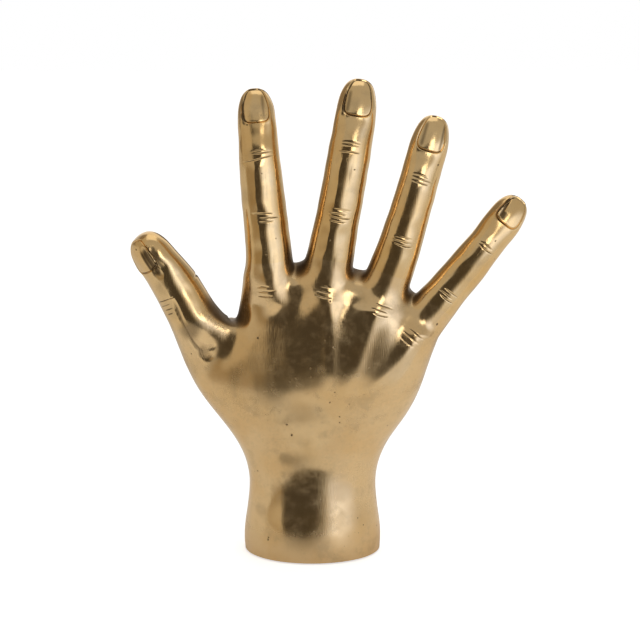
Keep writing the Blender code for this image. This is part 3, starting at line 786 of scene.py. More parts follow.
@dataclass(frozen=True)
class Web:
    """The web between two digits, where a brazed joint was filed and no polishing wheel reached."""

    crotch: Place
    filed: float = 7.0
    shaded: float = 26.0
    deep_shade_and_patina: float = 0.75
    faint_shade_and_patina: float = 0.33

    def distance(self, points: np.ndarray) -> np.ndarray:
        """Distance of each point from the crotch."""
        return np.linalg.norm(points - np.array(self.crotch), axis=1)

    def roughness(self, points: np.ndarray) -> np.ndarray:
        """How uneven the surface is at each point, from 0 to 1."""
        return 1.0 - eased(self.filed * 0.4, self.filed * 1.6, self.distance(points))

    def shade(self, points: np.ndarray, normals: np.ndarray) -> np.ndarray:
        """How much painted shade, with patina, each point gets, from 0 to 1, on the surfaces that face a
        neighbour.

        Args:
            points: Places in millimetres.
            normals: Directions of the surface there.

        Returns:
            The painted shade and patina.
        """
        # Painted shade on the flanks and web tops that face a neighbouring digit, with some patina.
        gap = self.distance(points)
        aside = np.sqrt(np.maximum(1.0 - normals[:, 1] ** 2, 0.0))
        deep = (1.0 - eased(self.filed * 0.5, self.shaded, gap)) * eased(0.40, 0.85, aside)
        faint = (1.0 - eased(self.shaded, self.shaded * 3.0, gap)) * eased(0.62, 0.95, aside)
        return np.maximum(self.deep_shade_and_patina * deep, self.faint_shade_and_patina * faint)


@dataclass(frozen=True)
class Patina:
    """A brown patch on the back of the hand: patina, and painted shade for the patches that stand in for
    shade.
    """

    x: float
    z: float
    reach: float
    strength: float

    def shade(self, points: np.ndarray, normals: np.ndarray) -> np.ndarray:
        """How dark the patch makes each point, from 0 to 1.

        Args:
            points: Places in millimetres.
            normals: Directions of the surface there.

        Returns:
            The darkness.
        """
        gap = np.hypot(points[:, 0] - self.x, points[:, 2] - self.z)
        facing = eased(-0.2, 0.2, -normals[:, 1])
        return self.strength * (1.0 - eased(self.reach * 0.2, self.reach, gap)) * facing


@dataclass(frozen=True)
class NailSlot:
    """A groove along a nail, from one distance along the digit to another, with painted shade and painted
    dark reflection along it.
    """

    digit: DigitName
    start: float
    end: float
    across_start: float
    across_end: float
    half_width: float
    deepest: float
    # How much painted shade and painted dark reflection the groove carries.
    darkening: float
    ends: Edges = (-0.15, 0.15, 0.8, 1.1)

    def depth(self, points: np.ndarray, normals: np.ndarray) -> np.ndarray:
        """Depth of the groove at each point.

        Args:
            points: Places in millimetres.
            normals: Directions of the surface there.

        Returns:
            The depth.
        """
        local, inward = in_section(DIGITS[self.digit].nail_placement(self.start), points)
        share = local[:, 2] / (self.end - self.start)
        aside = local[:, 0] - self.across_start - (self.across_end - self.across_start) * share
        facing = eased(0.0, 0.3, -(normals @ inward)) * (local[:, 1] < 0.0)
        return self.deepest * within(self.ends, share) * facing * np.exp(-((aside / self.half_width) ** 2))


@dataclass(frozen=True)
class Facet:
    """A flat filed along the back of a digit between two distances from its root, with a ridge on its left.

    Angles go round the digit from the middle of its back, to the little finger's side, in degrees.
    """

    digit: DigitName
    start: float
    end: float
    ridge: float = -16.0
    width: float = 30.0
    rise: float = 0.40
    dip: float = 0.16
    left: float = 24.0
    right: float = 50.0
    reach: float = 16.0
    ends: Edges = (0.0, 0.25, 0.75, 1.0)

    def height(self, points: np.ndarray) -> np.ndarray:
        """How far the filed surface stands out at each point.

        Args:
            points: Places in millimetres.

        Returns:
            The height.
        """
        local, _ = in_section(DIGITS[self.digit].placement((self.start + self.end) / 2), points)
        share = local[:, 2] / (self.end - self.start) + 0.5
        # The file's path wanders by a few degrees.
        wander = 2.5 * np.sin(7.0 * share + self.start) + 1.2 * np.sin(17.0 * share)
        turn = np.degrees(np.arctan2(local[:, 0], -local[:, 1])) - self.ridge - wander
        before = self.rise * np.clip(1.0 + turn / self.left, 0.0, 1.0) ** 2
        flat = self.rise - (self.rise + self.dip) * np.clip(turn / self.width, 0.0, 1.0)
        after = -self.dip * (1.0 - eased(self.width, self.width + self.right, turn))
        height = np.where(turn < 0.0, before, np.where(turn < self.width, flat, after))
        near = np.hypot(local[:, 0], local[:, 1]) < self.reach
        return height * near * within(self.ends, share)


@dataclass(frozen=True)
class WheelFlat:
    """A part of the wrist's back that the polishing wheel left flatter than the rest."""

    middle: float
    reach: float
    low: float
    high: float
    bend: float
    spread: float = 1.8
    inside: float = 4.0
    outside: float = 8.0

    def height(self, points: np.ndarray, normals: np.ndarray) -> np.ndarray:
        """How far the flatter surface stands out at each point.

        Args:
            points: Places in millimetres.
            normals: Directions of the surface there.

        Returns:
            The height.
        """
        aside = points[:, 0] - self.middle
        rise = (self.low - self.outside, self.low + self.inside)
        fall = (self.high - self.inside, self.high + self.outside)
        window = within((*rise, *fall), points[:, 2]) * eased(0.3, 0.6, -normals[:, 1])
        window *= 1.0 - eased(self.reach, self.reach * self.spread, np.abs(aside))
        return self.bend / 2 * aside**2 * window


@dataclass(frozen=True)
class Tendon:
    """A low ridge on the back of the hand, from a knuckle towards the wrist."""

    top: Span
    bottom: Span
    rise: float
    half_width: float
    fade: Edges = (-12.0, 12.0, -4.0, 10.0)

    def height(self, points: np.ndarray, normals: np.ndarray) -> np.ndarray:
        """Height of the ridge at each point.

        Args:
            points: Places in millimetres.
            normals: Directions of the surface there.

        Returns:
            The height.
        """
        (x0, z0), (x1, z1) = self.top, self.bottom
        share = np.clip((points[:, 2] - z0) / (z1 - z0), 0.0, 1.0)
        aside = (points[:, 0] - x0 - (x1 - x0) * share) / self.half_width
        edges = tuple(end + step for end, step in zip((z1, z1, z0, z0), self.fade))
        taper = within(edges, points[:, 2])
        return self.rise * taper * np.exp(-(aside**2)) * eased(0.3, 0.7, -normals[:, 1])


@dataclass(frozen=True)
class EvenBack:
    """The back of the hand, dressed to one even surface between knuckles and wrist."""

    evenness: float = 0.85
    sides: Edges = (-38.0, -28.0, 36.0, 52.0)
    heights: Edges = (70.0, 98.0, 118.0, 138.0)
    middle: Span = (5.0, 106.0)
    half_size: Span = (40.0, 26.0)
    degree: int = 3
    fewest: int = 500
    most: float = 1.5
    fade: float = 1.5

    def move(self, points: np.ndarray, normals: np.ndarray) -> np.ndarray:
        """How far each place goes along Y to the even surface.

        Args:
            points: Places in millimetres.
            normals: Directions of the surface there.

        Returns:
            The move.
        """
        x, y, z = points.T
        window = within(self.sides, x) * within(self.heights, z) * eased(0.5, 0.75, -normals[:, 1])
        move = np.zeros(len(points))
        use = np.flatnonzero(window > 0.0)
        if len(use) < self.fewest:
            return move
        u = (x[use] - self.middle[0]) / self.half_size[0]
        v = (z[use] - self.middle[1]) / self.half_size[1]
        powers = [(i, j) for i in range(self.degree + 1) for j in range(self.degree + 1 - i)]
        terms = np.stack([u**i * v**j for i, j in powers], axis=1)
        share = window[use]
        fit = np.linalg.lstsq(terms * share[:, None], y[use] * share, rcond=None)[0]
        gap = np.clip(terms @ fit - y[use], -self.most, self.most)
        move[use] = gap * share**self.fade * self.evenness
        return move


@dataclass(frozen=True)
class DullPlaces:
    """Where the polish is duller: lower palm, foot, the wrist's right side and fingertips."""

    palm: Edges = (58.0, 76.0, 92.0, 112.0)
    foot: float = 2.6
    foot_heights: Span = (11.0, 20.0)
    wrist: float = 1.8
    wrist_sides: Span = (8.0, 14.0)
    wrist_heights: Span = (46.0, 64.0)
    tip: float = 0.35
    tip_length: float = 9.0
    tip_reach: float = 16.0

    def satin(self, points: np.ndarray) -> np.ndarray:
        """How dull the polish is.

        Args:
            points: Places in millimetres.

        Returns:
            For each place, 0 where it is polished, 1 where it is satin, and more where it is duller.
        """
        x, _, z = points.T
        foot = self.foot * (1.0 - eased(*self.foot_heights, z))
        wrist = self.wrist * eased(*self.wrist_sides, x) * (1.0 - eased(*self.wrist_heights, z))
        dull = np.maximum.reduce([within(self.palm, z), foot, wrist])
        for digit in DIGITS.values():
            joint = np.array(digit.straight_point(digit.end_joint))
            axis = np.array(digit.axis(len(digit.lengths) - 1))
            along = (points - joint) @ axis
            aside = np.linalg.norm(points - joint - along[:, None] * axis, axis=1)
            tip = self.tip * eased(0.0, self.tip_length, along) * (aside < self.tip_reach)
            dull = np.maximum(dull, tip)
        return dull


@dataclass
class Carving:
    """What is carved in the rounded castings: creases, lines, nail grooves, filed joints, flats and waves."""

    crease_depth: float = 0.32
    crease_half_width: float = 0.25
    crease_bow: float = 0.7
    crease_shortening: float = 0.16
    crease_unevenness: float = 0.14
    crease_stray: float = 0.8
    crease_taper: float = 2.2
    crease_margin: float = 3.0
    crease_darkening: float = 0.8
    fold_depths: Span = (0.7, 0.9)
    fold_steps: Span = (-2.2, 0.8)
    fold_root: float = 1.0
    fold_half_width: float = 0.65
    fold_bow: float = 0.9
    fold_reach: float = 6.0
    lines_top: float = 140.0
    wave_count: int = 14
    wave_shortest: float = 9.0
    wave_longest: float = 42.0
    wave_steepness: float = 0.0026
    grain_count: int = 18
    grain_shortest: float = 3.0
    grain_spread: float = 5.0
    rough_height: float = 0.05
    palm_evenness: float = 0.35
    palm_heights: Span = (115.0, 150.0)
    even_back: EvenBack = EvenBack()
    dull_places: DullPlaces = DullPlaces()
    skin_lines: tuple[SkinLine, ...] = (
        SkinLine(((-9.0, 106.5), (-3.0, 94.0), (-4.0, 80.0), (-9.0, 66.0), (-16.0, 56.0)), 0.8, 1.9),
        SkinLine(((-36.0, 112.5), (-10.0, 106.0), (16.0, 98.0), (36.0, 84.0)), 0.75, 1.9),
        SkinLine(((56.0, 104.0), (36.0, 113.0), (12.0, 119.0), (-8.0, 131.0)), 0.75, 1.9),
        SkinLine(((-28.0, 50.0), (-8.0, 47.0), (10.0, 47.0), (27.0, 50.0)), 0.5, 1.5),
        SkinLine(((-27.0, 44.5), (-6.0, 42.0), (10.0, 42.0), (25.0, 44.5)), 0.45, 1.5),
        SkinLine(
            points=(
                (-69.0, 133.0),
                (-66.2, 126.0),
                (-63.2, 118.4),
                (-60.2, 112.5),
                (-55.5, 106.0),
                (-51.5, 105.0),
            ),
            depth=0.8,
            half_width=1.1,
            side=-1.0,
            darkening=0.62,
        ),
        SkinLine(((-57.5, 106.5), (-53.0, 102.5), (-49.5, 104.5)), 0.6, 0.9, -1.0, 0.62),
        SkinLine(((-55.5, 109.0), (-51.5, 107.5), (-48.5, 109.5)), 0.4, 0.7, -1.0, 0.45),
    )
    webs: tuple[Web, ...] = (
        Web((-5.5, -8.0, 149.0)),
        Web((22.5, -8.0, 145.0)),
        Web((46.5, -8.0, 131.5)),
        Web((-45.0, -8.0, 122.0), 9.0, 24.0),
    )
    patches: tuple[Patina, ...] = (
        # Patina, and painted shade beside the thumb's fold.
        Patina(-60.5, 117.0, 10.0, 0.50),
        Patina(-54.0, 105.5, 6.0, 0.42),
        Patina(-73.5, 138.0, 9.0, 0.30),
        Patina(-68.5, 126.0, 9.0, 0.28),
        Patina(-25.7, 24.8, 7.0, 0.30),
        # Painted shade that dims the mirrored light on the wrist's right side, with a smoky tone.
        Patina(14.0, 36.0, 12.0, 0.30),
        Patina(16.5, 198.0, 8.0, 0.26),
        Patina(12.5, 181.0, 6.0, 0.24),
        Patina(47.5, 178.0, 8.0, 0.24),
        Patina(41.0, 160.0, 7.0, 0.22),
        Patina(-24.5, 176.0, 7.0, 0.20),
        Patina(-32.5, 184.0, 9.0, 0.28),
        Patina(-30.0, 157.0, 8.0, 0.22),
    )
    tendons: tuple[Tendon, ...] = (
        Tendon((-16.0, 130.0), (-9.0, 92.0), 0.15, 4.0),
        Tendon((8.5, 132.0), (8.5, 92.0), 0.85, 4.0),
        Tendon((-20.0, 144.0), (-20.0, 134.0), 1.2, 5.0),
        Tendon((-46.0, 114.0), (-45.0, 95.0), 0.8, 5.0),
        Tendon((30.0, 127.0), (18.0, 92.0), 0.5, 4.0),
        Tendon((49.0, 114.0), (28.0, 88.0), 0.3, 4.0),
    )
    wheel_flat: WheelFlat = WheelFlat(1.0, 16.0, 17.0, 52.0, 0.0036)
    nail_slots: tuple[NailSlot, ...] = (
        NailSlot(DigitName.LITTLE, 56.3, 67.0, -3.9, -4.7, 0.70, 0.85, 0.85),
        NailSlot(DigitName.LITTLE, 56.0, 60.0, -2.6, -3.4, 1.70, 0.20, 0.80),
        NailSlot(DigitName.THUMB, 38.5, 54.5, 5.8, 4.6, 1.7, 0.8, 0.85),
        NailSlot(DigitName.THUMB, 41.0, 54.0, 7.4, 6.8, 0.5, 0.9, 0.9),
        NailSlot(DigitName.THUMB, 40.0, 53.0, 9.0, 8.4, 1.1, 0.5, 0.6),
        NailSlot(DigitName.THUMB, 39.0, 54.0, 3.4, 2.6, 0.9, 0.12, 0.8),
        NailSlot(DigitName.MIDDLE, 74.0, 88.0, -6.6, -6.2, 0.55, 0.35, 0.5),
        NailSlot(DigitName.MIDDLE, 73.0, 79.0, -6.4, -6.6, 0.9, 0.5, 0.6),
        NailSlot(DigitName.MIDDLE, 75.0, 87.0, -4.8, -4.3, 1.3, 0.06, 0.5),
        NailSlot(DigitName.RING, 67.0, 81.0, -4.4, -3.8, 1.3, 0.06, 0.5),
        NailSlot(DigitName.RING, 66.5, 81.0, 5.0, 4.6, 0.9, 0.08, 0.55),
        NailSlot(DigitName.INDEX, 73.0, 86.0, 4.0, 3.6, 1.2, 0.06, 0.5),
        NailSlot(DigitName.INDEX, 72.0, 86.0, -6.2, -5.8, 0.5, 0.3, 0.5),
        NailSlot(DigitName.INDEX, 70.5, 76.5, -6.0, -6.3, 0.9, 0.5, 0.6),
    )
    facets: tuple[Facet, ...] = (
        Facet(DigitName.INDEX, -2.0, 27.0),
        Facet(DigitName.INDEX, 27.0, 57.0),
        Facet(DigitName.MIDDLE, -3.0, 25.0, -18.0),
        Facet(DigitName.MIDDLE, 25.0, 59.0, -18.0),
        Facet(DigitName.THUMB, 4.0, 38.0, -20.0, 46.0, 0.5, 0.5),
    )
    seed: int = 5

    @staticmethod
    def direction(chance: np.random.Generator) -> np.ndarray:
        """A unit vector drawn by chance."""
        drawn = chance.normal(size=3)
        return drawn / np.linalg.norm(drawn)

    def waves(self, points: np.ndarray) -> np.ndarray:
        """The slow unevenness of a surface polished by hand.

        Args:
            points: Places in millimetres.

        Returns:
            Height at each place.
        """
        chance = np.random.default_rng(self.seed)
        height = np.zeros(len(points))
        for _ in range(self.wave_count):
            along = points @ self.direction(chance)
            length = self.wave_shortest * (self.wave_longest / self.wave_shortest) ** chance.random()
            phase = chance.random() * 2.0 * math.pi
            height += length * self.wave_steepness * np.sin(along * (2.0 * math.pi / length) + phase)
        above = eased(*self.palm_heights, points[:, 2])
        return height * (self.palm_evenness + (1.0 - self.palm_evenness) * above)

    def grain(self, points: np.ndarray) -> np.ndarray:
        """Dents and file marks, for the webs only.

        Args:
            points: Places in millimetres.

        Returns:
            Height at each place, about -1 to 1.
        """
        chance = np.random.default_rng(self.seed + 1)
        height = np.zeros(len(points))
        for _ in range(self.grain_count):
            along = points @ self.direction(chance)
            length = self.grain_shortest + self.grain_spread * chance.random()
            height += np.sin(along * (2.0 * math.pi / length) + chance.random() * 6.0)
        return height * 3.0 / self.grain_count

    def joint_lines(self, digit: Digit, points: np.ndarray, normals: np.ndarray) -> np.ndarray:
        """Depth of the lines engraved across a digit's joints, on the nail's side.

        Args:
            digit: The digit.
            points: Places in millimetres.
            normals: Directions of the surface there.

        Returns:
            Depth at each place.
        """
        depth = np.zeros(len(points))
        for number, group in enumerate(digit.creases):
            local, inward = in_section(digit.nail_placement(group.at), points)
            reach = group.lines * group.spacing + self.crease_margin
            near = (np.abs(local[:, 2]) < reach) & (local[:, 1] < 0.0) & (normals @ inward < -0.3)
            across, along = local[near, 0] - group.shift, local[near, 2]
            for line in range(group.lines):
                step = line - (group.lines - 1) / 2
                # Each line is a little off, by a fixed rule instead of a draw.
                odd = math.sin(3.7 * line + 5.1 * number + digit.length)
                half = group.half_length * (1.0 - self.crease_shortening * abs(step))
                share = (across - self.crease_stray * odd) / (half * (1.0 + self.crease_unevenness * odd))
                bow = self.crease_bow * (0.4 * odd - step / max(group.lines - 1, 1))
                centre = step * group.spacing + group.tilt * across + bow * share * share
                taper = np.clip(1.0 - np.abs(share) ** self.crease_taper, 0.0, 1.0)
                cut = taper * np.exp(-(((along - centre) / self.crease_half_width) ** 2))
                depth[near] = np.maximum(depth[near], self.crease_depth * cut)
        return depth

    def flexion_lines(self, digit: Digit, points: np.ndarray, normals: np.ndarray) -> np.ndarray:
        """Depth of the folds across a digit's joints on the palm's side.

        Args:
            digit: The digit.
            points: Places in millimetres.
            normals: Directions of the surface there.

        Returns:
            Depth at each place.
        """
        depth = np.zeros(len(points))
        shallow, deep = self.fold_depths
        below, above = self.fold_steps
        folds = [(digit.end_joint, shallow), (digit.end_joint - digit.lengths[-2] + above, deep)]
        if len(digit.lengths) > 2:
            folds += [(digit.lengths[0] + below, shallow), (self.fold_root, deep)]
        for at, deepest in folds:
            local, inward = in_section(digit.nail_placement(at), points)
            half_breadth, _ = digit.half_sizes(max(at, 0.0))
            facing = normals @ inward
            near = (np.abs(local[:, 2]) < self.fold_reach) & (local[:, 1] > 0.0) & (facing > -0.2)
            share = local[near, 0] / half_breadth
            taper = np.clip(1.0 - np.abs(share) ** 4, 0.0, 1.0) * eased(-0.2, 0.4, facing[near])
            cut = np.exp(-(((local[near, 2] + self.fold_bow * share * share) / self.fold_half_width) ** 2))
            depth[near] = np.maximum(depth[near], deepest * taper * cut)
        return depth

    def hand_lines(self, points: np.ndarray, normals: np.ndarray) -> tuple[np.ndarray, np.ndarray]:
        """Depth of the palm's lines and of the folds on the back of the hand, and the painted shade in them.

        Args:
            points: Places in millimetres.
            normals: Directions of the surface there.

        Returns:
            Depth and painted shade at each place.
        """
        depth = np.zeros(len(points))
        darkening = np.zeros(len(points))
        for line in self.skin_lines:
            near = (normals[:, 1] * line.side > 0.1) & (points[:, 1] * line.side > 0.0)
            near &= points[:, 2] < self.lines_top
            gap, share = line.distance(points[near, 0], points[near, 2])
            taper = np.clip(8.0 * share * (1.0 - share), 0.0, 1.0)
            cut = taper * np.exp(-((gap / line.half_width) ** 2))
            depth[near] = np.maximum(depth[near], line.depth * cut)
            # Painted shade in the thumb's folds.
            darkening[near] = np.maximum(darkening[near], line.darkening * cut)
        return depth, darkening

    @staticmethod
    def hollowness(mesh: bpy.types.Mesh) -> np.ndarray:
        """How hollow the surface is, evened out over the neighbours.

        Args:
            mesh: The carved mesh, in metres.

        Returns:
            Curvature at each vertex, in 1/mm.
        """
        points, normals = surface(mesh)
        count = len(points)
        ends = np.empty(len(mesh.edges) * 2, np.int32)
        mesh.edges.foreach_get("vertices", ends)
        first, second = ends.reshape(-1, 2).T
        edge = points[second] - points[first]
        squared = np.maximum((edge * edge).sum(axis=1), 1e-6)
        bend = np.bincount(first, (edge * normals[first]).sum(axis=1) / squared, count)
        bend -= np.bincount(second, (edge * normals[second]).sum(axis=1) / squared, count)
        neighbours = np.maximum(np.bincount(first, minlength=count) + np.bincount(second, minlength=count), 1)
        hollow = 2.0 * bend / neighbours
        for _ in range(2):
            around = np.bincount(first, hollow[second], count) + np.bincount(second, hollow[first], count)
            hollow = (hollow + around / neighbours) / 2
        return hollow

    def apply(self, mesh: bpy.types.Mesh) -> None:
        """Moves the mesh's points, and stores its painted shade and patina, and where it is rough and dull.

        Args:
            mesh: The rounded mesh, in metres.
        """
        points, normals = surface(mesh)
        height = self.waves(points)
        lines, shade = self.hand_lines(points, normals)
        creases = np.zeros(len(points))
        for digit in DIGITS.values():
            creases = np.maximum(creases, self.joint_lines(digit, points, normals))
            lines = np.maximum(lines, self.flexion_lines(digit, points, normals))
        lines = np.maximum(lines, creases)
        for slot in self.nail_slots:
            depth = slot.depth(points, normals)
            lines = np.maximum(lines, depth)
            # Painted shade and painted dark reflection along the nail grooves.
            shade = np.maximum(shade, slot.darkening * depth / slot.deepest)
        rough = np.zeros(len(points))
        for web in self.webs:
            rough = np.maximum(rough, web.roughness(points))
            shade = np.maximum(shade, web.shade(points, normals))
        for patch in self.patches:
            shade = np.maximum(shade, patch.shade(points, normals))
        for form in (*self.tendons, self.wheel_flat):
            height += form.height(points, normals)
        for facet in self.facets:
            height += facet.height(points)
        height += self.rough_height * rough * self.grain(points) - lines
        points[:, 1] += self.even_back.move(points, normals)
        points += normals * height[:, None]
        mesh.vertices.foreach_set("co", (points * MM).ravel())
        mesh.update()
        # Darker along the engraved crease lines.
        engraved = self.crease_darkening * eased(0.4, 0.95, creases / self.crease_depth)
        # Painted shade in the hollows, by their curvature, joined with the painted shade and patina of webs,
        # folds, nail grooves and patches, and the darker crease lines.
        recess = np.maximum.reduce([eased(0.10, 0.95, self.hollowness(mesh)), shade, engraved])
        for name, values in (("recess", recess), ("rough", rough), ("satin", self.dull_places.satin(points))):
            layer = mesh.attributes.new(name, "FLOAT", "POINT")
            layer.data.foreach_set("value", values.astype(np.float32))


@dataclass
class Casting:
    """One brass casting, cut from the rounded and carved hand."""

    node: str
    slot: str
    rounding: int = 4
    tenon_length: float = 14.0
    tenon_share: float = 0.5
    tenon_taper: float = 0.8
    gap: float = 0.3
    peg_sides: int = 40

    def wants(self, face: bmesh.types.BMFace, layers: dict) -> bool:
        """Whether a face of the cage belongs to the casting or borders on it."""
        raise NotImplementedError

    def part(self, bm: bmesh.types.BMesh) -> None:
        """Cuts the casting from its surroundings and closes it."""
        raise NotImplementedError

    def rounded(self, cage: bmesh.types.BMesh) -> bpy.types.Mesh:
        """The casting's part of the cage, with its surroundings, rounded.

        Args:
            cage: The cage of the whole hand.

        Returns:
            The rounded mesh.
        """
        patch = cage.copy()
        layers = {name: patch.verts.layers.int[name] for name in ("stop", "digit", "level")}
        away = [face for face in patch.faces if not self.wants(face, layers)]
        bmesh.ops.delete(patch, geom=away, context="FACES")
        holder = linked(self.node, mesh_from(patch, self.node))
        rounding = holder.modifiers.new("rounding", "SUBSURF")
        rounding.levels = self.rounding
        rounding.render_levels = self.rounding
        result = evaluated_mesh(holder)
        bpy.data.objects.remove(holder)
        return result

    def tenon(self, digit: Digit, clearance: float) -> list[Matrix]:
        """The rings of a digit's tenon, or of its socket when it has clearance.

        Args:
            digit: The digit.
            clearance: How much wider and longer it is than the tenon.

        Returns:
            Where a unit circle goes for each ring.
        """
        place = digit.placement(digit.seam)
        radius = digit.half_sizes(digit.seam)[0] * self.tenon_share
        ends = ((0.0, radius), (self.tenon_length + clearance, radius * self.tenon_taper))
        rings = []
        for depth, half_breadth in ends:
            size = (half_breadth + clearance) * MM
            sunk = Matrix.Translation((0.0, 0.0, -depth * MM))
            rings.append(place @ sunk @ Matrix.Diagonal((size, size, 1.0, 1.0)))
        return rings

    @staticmethod
    def cut(bm: bmesh.types.BMesh, digit: Digit, faces: list, keep_beyond: bool) -> list:
        """Cuts a digit's faces at its seam.

        Args:
            bm: The mesh.
            digit: The digit.
            faces: The faces that belong to it.
            keep_beyond: Whether the part beyond the seam stays, or the part before it.

        Returns:
            The edges of the hole.
        """
        place = digit.placement(digit.seam)
        middle, axis = place.translation, place.col[2].xyz
        edges = {edge for face in faces for edge in face.edges}
        verts = {vert for face in faces for vert in face.verts}
        made = bmesh.ops.bisect_plane(
            bm,
            geom=list(verts) + list(edges) + faces,
            plane_co=middle,
            plane_no=axis,
        )["geom_cut"]
        kept = {item for item in made if isinstance(item, bmesh.types.BMVert)}
        side = 1.0 if keep_beyond else -1.0
        away = [vert for vert in verts - kept if (vert.co - middle).dot(axis) * side < 0.0]
        bmesh.ops.delete(bm, geom=away, context="VERTS")
        return [item for item in made if item.is_valid and isinstance(item, bmesh.types.BMEdge)]

    @staticmethod
    def loft(bm: bmesh.types.BMesh, loop: list, rings: Iterable[Matrix], sides: int) -> None:
        """Closes a hole through a row of ovals and a cap.

        Args:
            bm: The mesh.
            loop: Edges of the hole.
            rings: Where a unit circle goes for each oval.
            sides: Sides of an oval.
        """
        for matrix in rings:
            circle = bmesh.ops.create_circle(bm, segments=sides, radius=1.0)["verts"]
            bmesh.ops.transform(bm, matrix=matrix, verts=circle)
            edges = list({edge for vert in circle for edge in vert.link_edges})
            bmesh.ops.bridge_loops(bm, edges=loop + edges)
            for edge in loop:
                edge.smooth = False
            loop = edges
        for edge in loop:
            edge.smooth = False
        bmesh.ops.contextual_create(bm, geom=loop)

    def build(
        self, cage: bmesh.types.BMesh, carving: Carving, material: bpy.types.Material
    ) -> bpy.types.Object:
        """Makes the casting.

        Args:
            cage: The cage of the whole hand.
            carving: What is cut into its surface.
            material: Its finish.

        Returns:
            The piece.
        """
        mesh = self.rounded(cage)
        carving.apply(mesh)
        bm = bmesh.new()
        bm.from_mesh(mesh)
        self.part(bm)
        bmesh.ops.recalc_face_normals(bm, faces=list(bm.faces))
        for face in bm.faces:
            face.smooth = True
            face.material_index = 0
        bm.to_mesh(mesh)
        bm.free()
        mesh.materials.clear()
        mesh.materials.append(material)
        piece = linked(self.node.replace("casting", "brass"), mesh)
        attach(piece, BODY)
        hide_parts(self.node)
        return piece


@dataclass
class DigitCasting(Casting):
    """A finger or the thumb, with the tenon that goes into the palm."""

    name: DigitName = field(kw_only=True)

    def wants(self, face: bmesh.types.BMFace, layers: dict) -> bool:
        """The digit's faces, and those that touch them."""
        near = {vert for corner in face.verts for edge in corner.link_edges for vert in edge.verts}
        return any(vert[layers["digit"]] == self.name.number for vert in near)

    def part(self, bm: bmesh.types.BMesh) -> None:
        """Cuts the digit at its seam and closes it with its tenon.

        Args:
            bm: The carved mesh.
        """
        others = [face for face in bm.faces if face.material_index != self.name.number]
        bmesh.ops.delete(bm, geom=others, context="FACES")
        loop = self.cut(bm, DIGITS[self.name], list(bm.faces), keep_beyond=True)
        self.loft(bm, loop, self.tenon(DIGITS[self.name], 0.0), self.peg_sides)


@dataclass
class PalmCasting(Casting):
    """Palm and wrist: hollow, with a socket for each digit and a pocket for the base plate."""

    rim_height: float = 0.8
    rim_width: float = 3.5
    ledge_width: float = 5.0
    ledge_height: float = 5.4
    wall: float = 5.0
    core_reach: float = 42.0
    core_top: float = 104.0
    core_end: Span = (0.7, 0.6)
    oval_sides: int = 96
    digit_rings: int = 3
    cage: HandCage = field(kw_only=True)

    def wants(self, face: bmesh.types.BMFace, layers: dict) -> bool:
        """Everything but the digits beyond their first rings."""
        return any(vert[layers["stop"]] <= self.digit_rings for vert in face.verts)

    def pocket(self, inset: float = 0.0) -> Span:
        """Half width and half depth of the oval that lies this far inside the foot's pocket."""
        inset += self.rim_width
        return self.cage.foot_width / 2 - inset, self.cage.foot_depth / 2 - inset

    def hollow(self) -> list[Matrix]:
        """Pocket, ledge and core of the foot and palm, from below.

        Returns:
            Where a unit circle goes for each ring.
        """
        cage = self.cage
        ovals = [(height, 0.0, *self.pocket()) for height in (self.rim_height, self.ledge_height)]
        ovals.append((self.ledge_height, 0.0, *self.pocket(self.ledge_width)))
        for station in cage.stations[len(cage.foot_levels) : cage.thumb_station + 1]:
            half_width = min(-station.left, station.right, self.core_reach) - self.wall
            half_depth = (station.palm - self.wall - station.back) / 2
            ovals.append((station.height, station.back + half_depth, half_width, half_depth - self.wall))
        _, centre, half_width, half_depth = ovals[-1]
        ovals.append((self.core_top, centre, half_width * self.core_end[0], half_depth * self.core_end[1]))
        return [
            Matrix.Translation((0.0, y * MM, z * MM)) @ Matrix.Diagonal((width * MM, depth * MM, 1.0, 1.0))
            for z, y, width, depth in ovals
        ]

    def part(self, bm: bmesh.types.BMesh) -> None:
        """Cuts off the digits and the foot's underside, and closes each cut.

        Args:
            bm: The carved mesh.
        """
        for name in DigitName:
            faces = [face for face in bm.faces if face.material_index == name.number]
            loop = self.cut(bm, DIGITS[name], faces, keep_beyond=False)
            self.loft(bm, loop, self.tenon(DIGITS[name], self.gap), self.peg_sides)
        everything = list(bm.verts) + list(bm.edges) + list(bm.faces)
        rim = Vector((0.0, 0.0, self.rim_height * MM))
        bmesh.ops.bisect_plane(bm, geom=everything, plane_co=rim, plane_no=(0.0, 0.0, 1.0), clear_inner=True)
        self.loft(bm, [edge for edge in bm.edges if edge.is_boundary], self.hollow(), self.oval_sides)


